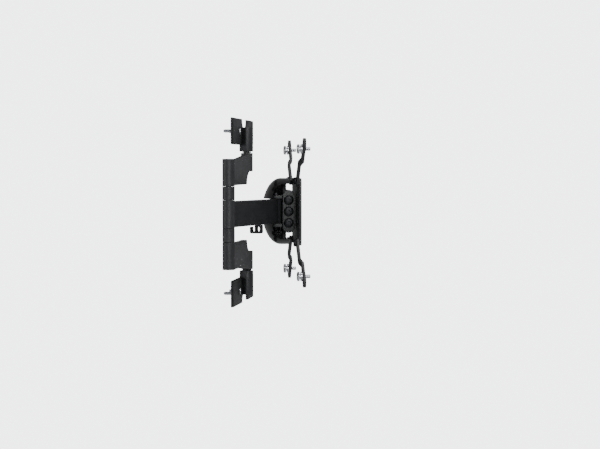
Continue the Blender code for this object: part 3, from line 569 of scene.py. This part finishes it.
def bracket_casting():
    middle = BRACKET_CENTRE
    plate = slab("bracket plate", rounded(LOBE_ENDS[-1], LOBE_ENDS[1], BRACKET_LOW, BRACKET_HIGH,
                                          LOBE_CORNER), -BRACKET_THICK, 0.0, "y")
    soften(plate, 0.0005, 2)
    web = soften(slab("bracket web", stem_outline(), -WEB_THICK, -FINE, "y"), 0.0010, 3)
    across = arc((0.0, -HINGE_OUT), BARREL_RADIUS, 180, 360, 32)
    across += [(BARREL_RADIUS, -2 * FINE), (0.0, -2 * FINE), (-BARREL_RADIUS / 2, -HINGE_OUT / 2),
               (-BARREL_RADIUS, -HINGE_OUT + 2 * FINE)]
    barrel = soften(slab("bracket barrel", across, BARREL_LOW, BARREL_HIGH, "z"), 0.0010, 3)
    join(plate, web, barrel)
    notch = slab("notch", rounded(middle - NOTCH_HALF, middle + NOTCH_HALF, BRACKET_HIGH - NOTCH_DEPTH,
                                  BRACKET_HIGH + NOTCH_DEPTH, NOTCH_CORNER, 12), -0.04, 0.01, "y")
    pin_hole = rod("pin hole", PIN_RADIUS + GAP, BARREL_LOW - 0.01, BARREL_HIGH - PIN_CAP + GAP,
                   (0.0, -HINGE_OUT))
    floor, shank, head = -WEB_THICK + POCKET_DEPTH, SHANK_RADIUS + GAP, SCREW_HEAD_RADIUS + GAP
    pocket = [(0.0, -0.03), (POCKET_RADIUS + 0.0006, -0.03), (POCKET_RADIUS + 0.0006, -WEB_THICK),
              (POCKET_RADIUS, -WEB_THICK + 0.0006), (POCKET_RADIUS, floor), (shank, floor), (shank, 0.01),
              (0.0, 0.01)]
    sunk = [(0.0, -0.03), (head, -0.03), (head, -BRACKET_THICK), (shank, head - shank - BRACKET_THICK),
            (shank, 0.01), (0.0, 0.01)]
    holes = []
    for end in ENDS.values():
        holes.append(turn("pocket", pocket, (middle + end * INNER_SCREW_OFF, SCREW_ROW), "y", BOLT_ROUND))
        holes.append(turn("sunk hole", sunk, (LOBE_ENDS[end] - end * OUTER_SCREW_IN, SCREW_ROW), "y",
                          BOLT_ROUND))
    return cut(plate, notch, pin_hole, *holes)


def lobe_cover(end):
    """A shallow snap-on cap over one lobe of the upper bracket."""
    left, right = sorted((BRACKET_CENTRE + end * (LOBE_INNER + GAP), LOBE_ENDS[end] - end * COVER_MARGIN))
    low, high = BRACKET_LOW + COVER_MARGIN, BRACKET_HIGH - COVER_MARGIN
    back, front = -BRACKET_THICK - GAP, -WEB_THICK
    cover = slab("cover", rounded(left, right, low, high, LOBE_CORNER, 8), front, back, "y")
    soften(cover, 0.0006, 3)
    hollow = slab("hollow", rounded(left + COVER_WALL, right - COVER_WALL, low + COVER_WALL,
                                    high - COVER_WALL, 0.002), front + COVER_TOP, back + 0.01, "y")
    return cut(cover, hollow)


def wall_screw(head_profile, front, socket_depth):
    """A wood screw at the origin line, driven towards +Y, with a hexagon socket."""
    profile = [(0.0, front)] + head_profile
    profile += threads(SHANK_RADIUS, 0.0015, SCREW_TIP - 0.0015, 0.0018, 0.0007)
    profile += [(SHANK_RADIUS - 0.001, SCREW_TIP), (0.0, SCREW_TIP)]
    screw = turn("wall screw", profile, axis="y", steps=BOLT_ROUND)
    return cut(screw, slab("socket", hexagon(0.0026), front - 0.01, front + socket_depth, "y"))


def wall_screws():
    """The flat-headed inner screw and the countersunk outer one."""
    radius, edge = SCREW_HEAD_RADIUS, 0.0007
    seat = -WEB_THICK + POCKET_DEPTH - GAP
    front = seat - 0.0030
    flat = [(radius - 2 * edge, front), (radius - edge * 0.4, front + edge * 0.5),
            (radius, front + edge * 1.6), (radius, seat - 0.0003), (radius - 0.0003, seat),
            (SHANK_RADIUS, seat)]
    face = -BRACKET_THICK + GAP
    sunk = [(radius - 0.0003, face), (radius, face + 0.0003), (SHANK_RADIUS, face + radius - SHANK_RADIUS)]
    return wall_screw(flat, front, 0.0018), wall_screw(sunk, face, 0.0018)


def dress_wall_side():
    casting, (inner, outer) = bracket_casting(), wall_screws()
    covers = {end: lobe_cover(end) for end in ENDS.values()}
    for side, up in SIDES.items():
        over = OVER if up < 0 else Matrix.Identity(4)
        stand_in(copied(casting, f"{side}_bracket_casting", over), f"{side}_wall_bracket")
        for end, way in ENDS.items():
            stand_in(copied(covers[way], f"{side}_{end}_lobe_cover", over), f"{side}_{end}_cover")
            inner_at = Matrix.Translation((BRACKET_CENTRE + way * INNER_SCREW_OFF, 0.0, up * SCREW_ROW))
            outer_at = Matrix.Translation((LOBE_ENDS[way] - way * OUTER_SCREW_IN, 0.0, up * SCREW_ROW))
            for screw, where, word in ((inner, inner_at, "inner"), (outer, outer_at, "outer")):
                stand_in(copied(screw, f"{side}_{end}_{word}_screw_turned", where),
                         f"{side}_{end}_{word}_wall_screw")
    for model in (casting, inner, outer, *covers.values()):
        bpy.data.objects.remove(model)


# Inner links and the elbow column


def link_outline():
    column, low = -LINK_LENGTH, LINK_LOW + 0.0017
    start, end = column + 0.124, column + 0.160
    outline = [(column, COLUMN_HIGH - FINE), (column + 0.045, COLUMN_HIGH + FINE),
               (0.0, KNUCKLE_HIGH - FINE), (0.0, KNUCKLE_LOW + FINE)]
    for step in range(16, -1, -1):
        share = math.radians(90 * step / 16)
        outline.append((end - (end - start) * math.cos(share) ** 0.8,
                        low + (KNUCKLE_LOW - low) * (1 - (1 - math.sin(share)) ** 0.8)))
    return outline + [(column, low)]


def link_casting():
    link = soften(slab("link", link_outline(), -LINK_THICK / 2, LINK_BACK, "y"), 0.0013, 3, 50)
    knuckle = rod("knuckle", KNUCKLE_RADIUS, KNUCKLE_LOW, KNUCKLE_HIGH, edge=0.0006)
    column = rod("column", COLUMN_RADIUS, LINK_LOW + GAP / 2, COLUMN_HIGH, (-LINK_LENGTH, 0.0), edge=0.0005)
    join(link, knuckle, column)
    floor = COLUMN_HIGH - 0.0022 - CAP_SINK - 0.0050 - 3 * GAP
    well, shank = 0.0072, BOLT_RADIUS + GAP
    stepped = [(0.0, 0.01), (shank, 0.01), (shank, floor), (well, floor), (well, 0.1), (0.0, 0.1)]
    pin_hole = rod("pin hole", 0.0070, KNUCKLE_LOW + 0.0024, KNUCKLE_HIGH + 0.01)
    return cut(link, pin_hole, turn("bolt hole", stepped, (-LINK_LENGTH, 0.0)))


def spacer_ring():
    low, high = ARM_KNUCKLE_HIGH + GAP / 2, LINK_LOW - GAP / 2
    edge, inner, outer = 0.0005, BOLT_RADIUS + GAP, COLUMN_RADIUS
    profile = [(inner, low), (outer - edge, low), (outer, low + edge), (outer, high - edge),
               (outer - edge, high), (inner, high)]
    return turn("spacer", profile, (-LINK_LENGTH, 0.0), ring=True)


def column_plug():
    """The slightly crowned plug that closes the top of the column."""
    radius, low, high = 0.0069, COLUMN_HIGH - CAP_SINK - 0.0022, COLUMN_HIGH - CAP_SINK
    profile = [(0.0, low), (radius, low), (radius, high - 0.0006), (radius - 0.0003, high - 0.0002),
               (radius - 0.0009, high), (0.0030, high), (0.0026, high - 0.0003), (0.0, high - 0.0003)]
    return turn("plug", profile, (-LINK_LENGTH, 0.0), steps=BOLT_ROUND)


def dress_links():
    models = {"link": link_casting(), "column_spacer": spacer_ring(), "column_cap": column_plug()}
    for side, up in SIDES.items():
        place = WALL_LINE @ OVER if up < 0 else WALL_LINE
        for node, model in models.items():
            stand_in(copied(model, f"{side}_{node}_made", place), f"{side}_{node}")
    for model in models.values():
        bpy.data.objects.remove(model)


# Middle arm and its cable clip


def dress_middle_arm():
    arm = slab("middle_arm_casting", [(0.0, -ARM_HALF), (ARM_LENGTH, -ARM_HALF), (ARM_LENGTH, ARM_HALF),
                                      (0.0, ARM_HALF)], -ARM_THICK / 2, ARM_THICK / 2, "y")
    soften(arm, 0.0016, 4)
    knuckle_top = ARM_KNUCKLE_HIGH - GAP / 2
    knuckle = rod("arm knuckle", COLUMN_RADIUS, -knuckle_top, knuckle_top, edge=0.0005)
    end = rod("arm end", ARM_END_RADIUS, -ARM_HALF, ARM_HALF, (ARM_LENGTH, 0.0), edge=0.0008)
    join(arm, knuckle, end)
    bush = BOLT_RADIUS + 0.0022 + GAP
    cut(arm, rod("elbow hole", bush, -0.05, 0.05), rod("swivel hole", bush, -0.05, 0.05, (ARM_LENGTH, 0.0)))
    stand_in(settle(arm, ELBOW), "middle_arm")


def dress_cable_clip():
    top = -ARM_HALF - GAP
    bottom = top - CLIP_HEIGHT
    outer = ARM_THICK / 2 + 0.0040
    channel = outer - CLIP_WALL - CLIP_CHANNEL
    slot_low = channel - CLIP_WALL - CLIP_CHANNEL
    low, corner, inner = slot_low - CLIP_WALL, 0.0025, CLIP_CHANNEL / 2
    outline = arc((outer - corner, bottom + corner), corner, 0, -90)
    outline += arc((low + corner, bottom + corner), corner, -90, -180)
    outline += [(low, top), (channel, top)]
    outline += arc((channel + inner, bottom + CLIP_WALL + inner), inner, 180, 360, 16)
    outline += arc((outer - CLIP_WALL / 2, top - 0.0040), CLIP_WALL / 2, 180, 0, 8)
    clip = slab("cable_clip_moulding", outline, CLIP_AT - CLIP_LENGTH / 2, CLIP_AT + CLIP_LENGTH / 2, "x")
    slot_half = (top - 0.0020 - bottom - CLIP_WALL) / 2 - inner
    middle = channel - CLIP_WALL - inner
    cut(clip, slab("clip slot", obround((middle, bottom + CLIP_WALL + inner + slot_half), slot_half, inner),
                   0.0, 0.3, "x"))
    soften(clip, 0.0004, 2, 60)
    stand_in(settle(clip, ELBOW), "cable_clip")


# Swivel and tilt head


def dress_yoke():
    low, high = ARM_HALF + GAP, ARM_HALF + GAP + EAR_THICK
    yoke = slab("swivel_yoke_casting", [(-BLOCK_HALF, -high), (BLOCK_HALF, -high), (BLOCK_HALF, high),
                                        (-BLOCK_HALF, high)], -TILT_OUT + 0.0030, -WEB_BACK, "y")
    soften(yoke, 0.0008, 3)
    back = -WEB_BACK - 0.001
    ear_shape = arc((0.0, 0.0), EAR_RADIUS, 0, 180, 32) + [(-EAR_RADIUS, back), (EAR_RADIUS, back)]
    ears = [soften(slab("ear", ear_shape, *sorted((up * low, up * high)), "z"), 0.0008, 3)
            for up in SIDES.values()]
    block = slab("block", obround((-TILT_OUT, 0.0), TILT_STEP, BLOCK_ROUND), -BLOCK_HALF, BLOCK_HALF, "x")
    join(yoke, *ears, soften(block, 0.0004, 2))
    holes = [rod("tilt hole", TILT_BOLT_RADIUS + GAP, -0.05, 0.05, (-TILT_OUT, step * TILT_STEP), "x",
                 BOLT_ROUND) for step in (-1, 0, 1)]
    cut(yoke, rod("bolt hole", BOLT_RADIUS + GAP, -0.05, 0.05), *holes)
    stand_in(settle(yoke, HEAD), "swivel_yoke")


def dress_swivel_bolt():
    seat = ARM_HALF + 2 * GAP + EAR_THICK
    head, tip, wide = seat + 0.0050, -(seat + 0.0065), 0.0078
    profile = [(0.0, tip), (BOLT_RADIUS - 0.0008, tip)]
    profile += threads(BOLT_RADIUS, tip + 0.0004, -seat + 0.004, 0.00125)
    profile += [(BOLT_RADIUS, -seat + 0.0045), (BOLT_RADIUS, seat), (wide - 0.0003, seat),
                (wide, seat + 0.0003),
                (wide, head - 0.0016), (wide - 0.0004, head - 0.0008), (wide - 0.0013, head), (0.0, head)]
    bolt = turn("swivel_bolt_turned", profile)
    stand_in(settle(cut(bolt, slab("socket", hexagon(0.0034), head - 0.0032, head + 0.01, "z")), HEAD),
             "swivel_bolt")
    nut = soften(slab("swivel_nut_pressed", hexagon(wide), -seat - 0.0055, -seat, "z"), 0.0007, 3)
    cut(nut, rod("nut hole", BOLT_RADIUS + GAP, -0.05, 0.0, steps=BOLT_ROUND))
    stand_in(settle(nut, HEAD), "swivel_nut")


def dress_tilt_bolts():
    seat = -(BLOCK_HALF + 2 * GAP + CHEEK_THICK)
    head, tip, wide = seat - TILT_HEAD_HEIGHT, -seat + 0.0050, TILT_HEAD_RADIUS
    profile = [(0.0, head), (0.0052, head), (0.0058, head + 0.0003), (wide - 0.0004, head + 0.0010),
               (wide, head + 0.0018), (wide, seat - 0.0004), (wide - 0.0004, seat), (TILT_BOLT_RADIUS, seat)]
    profile += [(TILT_BOLT_RADIUS, -seat - 0.004)]
    profile += threads(TILT_BOLT_RADIUS, -seat - 0.0036, tip - 0.0003, 0.0008, 0.0003)
    profile += [(TILT_BOLT_RADIUS - 0.0005, tip), (0.0, tip)]
    bolt = cut(turn("tilt bolt", profile, axis="x", steps=ROUND),
               slab("socket", hexagon(0.0030), head - 0.01, head + 0.0026, "x"))
    nut = soften(slab("tilt nut", hexagon(0.0050), -seat, -seat + 0.0040, "x"), 0.0004, 2)
    cut(nut, rod("nut hole", TILT_BOLT_RADIUS + GAP, 0.0, 0.05, axis="x", steps=BOLT_ROUND))
    for word, step in {"upper": 1, "middle": 0, "lower": -1}.items():
        place = TILT @ Matrix.Translation((0.0, 0.0, step * TILT_STEP))
        stand_in(copied(bolt, f"{word}_tilt_bolt_turned", place), f"{word}_tilt_bolt")
        stand_in(copied(nut, f"{word}_tilt_nut_pressed", place), f"{word}_tilt_nut")
    for model in (bolt, nut):
        bpy.data.objects.remove(model)


def bowl_profile(inset, start):
    radius, depth = DOME_RADIUS - inset, DOME_ROUND - inset
    turns = [math.radians(90 * step / 24) for step in range(24)]
    points = [(radius * math.cos(t), -DOME_RIM + DOME_SKIRT + depth * math.sin(t)) for t in turns]
    return start + points + [(0.0, -DOME_RIM + DOME_SKIRT + depth)]


def lining_faces(shell):
    """The faces on the bowl's inner side, which lie well within its outer surface."""
    found = []
    for face in shell.data.polygons:
        across = math.hypot(face.center.x, face.center.z) / DOME_RADIUS
        deep = max(face.center.y + DOME_RIM - DOME_SKIRT, 0.0) / DOME_ROUND
        if across ** 2 + deep ** 2 < LINING_WITHIN:
            found.append(face.index)
    return found


def dress_dome():
    """The glossy bowl behind the head, slotted for the arm and open on the near side."""
    rim, edge, inside = -DOME_RIM, 0.0006, DOME_RADIUS - DOME_WALL
    shell = turn("dome_cover_moulding", bowl_profile(0.0, [(0.0, rim), (DOME_RADIUS - edge, rim),
                                                          (DOME_RADIUS, rim + edge)]),
                 axis="y", steps=DOME_ROUND_STEPS)
    hollow = turn("hollow", bowl_profile(DOME_WALL, [(0.0, rim - 0.01), (inside + edge, rim - 0.01),
                                                     (inside + edge, rim), (inside, rim + edge)]),
                  axis="y", steps=DOME_ROUND_STEPS)
    cut(shell, hollow)
    ear_face = ARM_HALF + 2 * GAP + EAR_THICK
    for up in SIDES.values():
        post = rod("post", 0.0040, up * ear_face, up * (DOME_RADIUS - DOME_WALL / 2),
                   (0.0, -WEB_BACK - 0.0013), edge=0.0)
        join(shell, post)
    slot_half = ARM_HALF + 0.0010
    slot = slab("arm slot", [(-0.07, -slot_half), (0.07, -slot_half), (0.07, slot_half), (-0.07, slot_half)],
                -0.0100, 0.05, "y")
    middle = -DOME_RIM + DOME_SKIRT
    high, deep = DOME_RADIUS - DOME_BAND, DOME_ROUND - DOME_BAND
    opening = [(rim - 0.01, -high)]
    for step in range(33):
        t = math.radians(-90 + 180 * step / 32)
        opening.append((middle + deep * math.cos(t), high * math.sin(t)))
    opening.append((rim - 0.01, high))
    cut(shell, slot, slab("near opening", opening, -0.07, -BLOCK_HALF - 0.0040, "x"))
    lining = lining_faces(shell)
    stand_in(settle(shell, HEAD), "dome_cover")
    shell.data.materials.append(FINISHES["matte_plastic"])
    for index in lining:
        shell.data.polygons[index].material_index = 1


def arc_slot(middle, sweep, half_width):
    """A curved slot round the tilt line, for the outer tilt bolts."""
    first, last = math.radians(middle - sweep), math.radians(middle + sweep)
    start = (TILT_STEP * math.cos(first), TILT_STEP * math.sin(first))
    end = (TILT_STEP * math.cos(last), TILT_STEP * math.sin(last))
    outline = arc((0.0, 0.0), TILT_STEP + half_width, middle - sweep, middle + sweep, 10)
    outline += arc(end, half_width, middle + sweep, middle + sweep + 180, 10)[1:-1]
    outline += arc((0.0, 0.0), TILT_STEP - half_width, middle + sweep, middle - sweep, 10)
    outline += arc(start, half_width, middle - sweep + 180, middle - sweep + 360, 10)[1:-1]
    return slab("arc slot", outline, -0.05, 0.05, "x")


def dress_tilt_bracket():
    inner = BLOCK_HALF + GAP
    outer = inner + CHEEK_THICK
    front = -(TV_FACE - TILT_OUT - PLATE_THICK - GAP)
    middle = inner + CHEEK_THICK / 2
    base = slab("tilt_bracket_pressing", [(-middle, FINE - BASE_HALF), (middle, FINE - BASE_HALF),
                                          (middle, BASE_HALF - FINE), (-middle, BASE_HALF - FINE)],
                front, front + BASE_THICK, "y")
    radius = CHEEK_WIDTH / 2
    straight = CHEEK_HALF - radius
    outline = arc((0.0, straight), radius, 0, 180, 24)
    outline += [(-radius, BASE_HALF), (front + FINE, BASE_HALF), (front + FINE, -BASE_HALF),
                (-radius, -BASE_HALF)]
    outline += arc((0.0, -straight), radius, 180, 360, 24)
    for way in ENDS.values():
        cheek = slab("cheek", outline, *sorted((way * inner, way * outer)), "x")
        join(base, soften(cheek, 0.0007, 3))
    pivot = rod("pivot", TILT_BOLT_RADIUS + 0.0001, -0.05, 0.05, axis="x", steps=BOLT_ROUND)
    cut(base, pivot, *[arc_slot(way * 90.0, 13.5, TILT_BOLT_RADIUS + GAP) for way in (-1, 1)])
    stand_in(settle(base, TILT), "tilt_bracket")


# Television plate, its arms and screws


def dress_plate():
    front = -(TV_FACE - TILT_OUT)
    plate = slab("television_plate_pressing", rounded(-PLATE_HALF, PLATE_HALF, -PLATE_HALF, PLATE_HALF,
                                                      PLATE_CORNER, 8), front, front + PLATE_THICK, "y")
    soften(plate, 0.0007, 3)
    holes = []
    for end in ENDS.values():
        holes.append(slab("plate slot", obround((end * 0.0260, -0.0040), 0.0110, 0.0026), -0.05, 0.05, "y"))
        for side in SIDES.values():
            holes.append(rod("clamp hole", CLAMP_RADIUS + GAP, -0.05, 0.05,
                             (end * ARM_PIVOT, side * ARM_PIVOT), "y", BOLT_ROUND))
            holes.append(rod("spare hole", 0.0028, -0.05, 0.05, (end * 0.0375, side * 0.0375), "y",
                             BOLT_ROUND))
    stand_in(settle(cut(plate, *holes), TILT), "television_plate")


def strip_pressing():
    """One joggled strip, with X from the plate's corner to the screw."""
    front = -(TV_FACE - TILT_OUT)
    raised = front + PLATE_THICK + GAP
    joggle, tip = (JOGGLE - ARM_PIVOT) * DIAGONAL, (STRIP_TIP - ARM_PIVOT) * DIAGONAL
    start, stop, reach = joggle - 0.004, joggle + 0.004, tip + STRIP_TIP_RADIUS + 0.01
    profile = [(-0.02, raised), (start, raised), (stop, front), (reach, front), (reach, front + STRIP_THICK),
               (stop, front + STRIP_THICK), (start, raised + STRIP_THICK), (-0.02, raised + STRIP_THICK)]
    strip = slab("strip", profile, -0.018, 0.018, "z")
    waist_start, waist_stop = 0.014, tip - 0.020
    plan = arc((0.0, 0.0), STRIP_INNER, 90, 270, 24)
    plan += [(waist_start, -STRIP_WAIST), (waist_stop, -STRIP_WAIST)]
    plan += arc((tip, 0.0), STRIP_TIP_RADIUS, -90, 90, 24)
    plan += [(waist_stop, STRIP_WAIST), (waist_start, STRIP_WAIST)]
    combine(strip, "INTERSECT", slab("plan", plan, -0.1, 0.1, "y"))
    soften(strip, 0.0006, 3, 50)
    at_screw = (TV_HOLE - ARM_PIVOT) * DIAGONAL
    slot = slab("strip slot", obround((at_screw + 0.0020, 0.0), 0.0048, TV_SCREW_RADIUS + GAP, False),
                -0.1, 0.1, "y")
    return cut(strip, rod("pivot", CLAMP_RADIUS + 0.0001, -0.1, 0.1, axis="y", steps=BOLT_ROUND), slot)


def television_screw():
    face = -(TV_FACE - TILT_OUT)
    seat, head = face + STRIP_THICK + GAP, face + TV_SCREW_STAND
    neck, wide, edge = TV_SCREW_RADIUS + 0.0010, TV_SCREW_HEAD, 0.0005
    profile = [(0.0, face - TV_SCREW_BITE), (TV_SCREW_RADIUS - 0.0006, face - TV_SCREW_BITE)]
    profile += threads(TV_SCREW_RADIUS, face - TV_SCREW_BITE + 0.0002, seat - 0.0005, 0.0010)
    profile += [(TV_SCREW_RADIUS, seat), (wide - edge, seat), (wide, seat + edge),
                (wide, seat + 0.0026 - edge),
                (wide - edge, seat + 0.0026), (neck, seat + 0.0026), (neck, head - 0.0038),
                (wide - edge, head - 0.0038), (wide, head - 0.0038 + edge), (wide, head - 0.0013),
                (wide - 0.0004, head - 0.0006), (wide - 0.0013, head), (0.0, head)]
    screw = turn("television screw", profile, ((TV_HOLE - ARM_PIVOT) * DIAGONAL, 0.0), "y", BOLT_ROUND)
    socket = slab("socket", hexagon(0.0030, ((TV_HOLE - ARM_PIVOT) * DIAGONAL, 0.0)), head - 0.0026,
                  head + 0.01, "y")
    return cut(screw, socket)


def clamp_screw():
    front = -(TV_FACE - TILT_OUT) + GAP
    seat = front + PLATE_THICK + STRIP_THICK + GAP
    head, wide = seat + 0.0040, 0.0055
    profile = [(0.0, front), (CLAMP_RADIUS - 0.0003, front), (CLAMP_RADIUS, front + 0.0003),
               (CLAMP_RADIUS, seat), (wide - 0.0003, seat), (wide, seat + 0.0003), (wide, head - 0.0012),
               (wide - 0.0004, head - 0.0005), (wide - 0.0011, head), (0.0, head)]
    screw = turn("clamp screw", profile, axis="y", steps=BOLT_ROUND)
    return cut(screw, slab("socket", hexagon(0.0024), head - 0.0022, head + 0.01, "y"))


def dress_television_side():
    dress_plate()
    strip, screw, clamp = strip_pressing(), television_screw(), clamp_screw()
    for side, up in SIDES.items():
        for end, way in ENDS.items():
            corner = TILT @ Matrix.Translation((way * ARM_PIVOT, 0.0, up * ARM_PIVOT))
            splayed = corner @ Matrix.Rotation(-math.atan2(up, way), 4, "Y")
            stand_in(copied(strip, f"{side}_{end}_strip_pressing", splayed), f"{side}_{end}_tv_arm")
            stand_in(copied(screw, f"{side}_{end}_tv_screw_turned", splayed), f"{side}_{end}_tv_screw")
            stand_in(copied(clamp, f"{side}_{end}_clamp_screw_turned", corner), f"{side}_{end}_clamp_screw")
    for model in (strip, screw, clamp):
        bpy.data.objects.remove(model)


def finish_inner_nodes():
    """Bushings, washers, pins and the elbow bolt keep their CAD shape and get their finish."""
    for node, piece in frame["nodes"].items():
        for slot in piece.material_slots:
            slot.material = FINISHES[SLOT_OF[node]]
        if not piece.material_slots:
            piece.data.materials.append(FINISHES[SLOT_OF[node]])


# Floor, light and camera


BACKDROP = (0.93, 0.95, 0.96, 1.0)
BACKDROP_GLOW = 4.5
ROOM_LIGHT = 0.30


def plain(name, colour, roughness=0.8):
    material = bpy.data.materials.new(name)
    material.use_nodes = True
    shader = material.node_tree.nodes["Principled BSDF"]
    shader.inputs["Base Color"].default_value = (*colour, 1.0)
    shader.inputs["Roughness"].default_value = roughness
    return material


def seen_bright(tree, seen, unseen):
    """The first shader where the camera looks straight at it, and the second where it lights other things."""
    path = tree.nodes.new("ShaderNodeLightPath")
    mix = tree.nodes.new("ShaderNodeMixShader")
    tree.links.new(path.outputs["Is Camera Ray"], mix.inputs[0])
    tree.links.new(unseen, mix.inputs[1])
    tree.links.new(seen, mix.inputs[2])
    return mix.outputs[0]


def lay_floor():
    let_go()
    bpy.ops.mesh.primitive_plane_add(size=16.0, location=(0.0, 0.0, -0.42))
    floor = bpy.context.active_object
    floor.name = "studio_floor"
    material = plain("pale floor", (0.62, 0.63, 0.63))
    tree = material.node_tree
    glow = tree.nodes.new("ShaderNodeEmission")
    glow.inputs["Color"].default_value = BACKDROP
    glow.inputs["Strength"].default_value = BACKDROP_GLOW
    shown = seen_bright(tree, glow.outputs[0], tree.nodes["Principled BSDF"].outputs[0])
    tree.links.new(shown, tree.nodes["Material Output"].inputs["Surface"])
    floor.data.materials.append(material)


def soft_light(name, place, target, size, power, colour=(1.0, 1.0, 1.0)):
    lamp = bpy.data.lights.new(name, "AREA")
    lamp.shape, lamp.size, lamp.energy, lamp.color = "DISK", size, power, colour
    holder = bpy.data.objects.new(name, lamp)
    holder.location = place
    holder.rotation_euler = (Vector(target) - Vector(place)).to_track_quat("-Z", "Y").to_euler()
    bpy.context.scene.collection.objects.link(holder)


def light_room():
    world = bpy.data.worlds.new("pale room")
    world.use_nodes = True
    tree = world.node_tree
    room = tree.nodes["Background"]
    room.inputs["Color"].default_value = BACKDROP
    room.inputs["Strength"].default_value = ROOM_LIGHT
    seen = tree.nodes.new("ShaderNodeBackground")
    seen.inputs["Color"].default_value = BACKDROP
    seen.inputs["Strength"].default_value = BACKDROP_GLOW
    shown = seen_bright(tree, seen.outputs[0], room.outputs[0])
    tree.links.new(shown, tree.nodes["World Output"].inputs["Surface"])
    bpy.context.scene.world = world
    soft_light("window", (-2.4, -0.9, 0.7), (0.0, -0.05, 0.0), 0.7, 22.0)
    soft_light("overhead", (-0.3, -0.9, 1.9), (0.0, -0.05, 0.0), 1.2, 22.0)
    soft_light("wall side", (-0.9, 1.8, 0.5), (0.0, -0.02, 0.0), 0.8, 8.0)


def set_camera():
    lens = bpy.data.cameras.new("view")
    lens.lens, lens.sensor_width, lens.clip_end = 93.6, 36.0, 40.0
    camera = bpy.data.objects.new("view", lens)
    turn_down, turn_aside = math.radians(2.11), math.radians(6.9)
    camera.location = (-2.511, -0.403, 0.0717)
    camera.rotation_euler = (math.radians(90.0) - turn_down, 0.0, turn_aside - math.radians(90.0))
    bpy.context.scene.collection.objects.link(camera)
    bpy.context.scene.camera = camera


dress_wall_side()
dress_links()
dress_middle_arm()
dress_cable_clip()
dress_yoke()
dress_swivel_bolt()
dress_tilt_bolts()
dress_dome()
dress_tilt_bracket()
dress_television_side()
finish_inner_nodes()
lay_floor()
light_room()
set_camera()

bpy.context.view_layer.update()
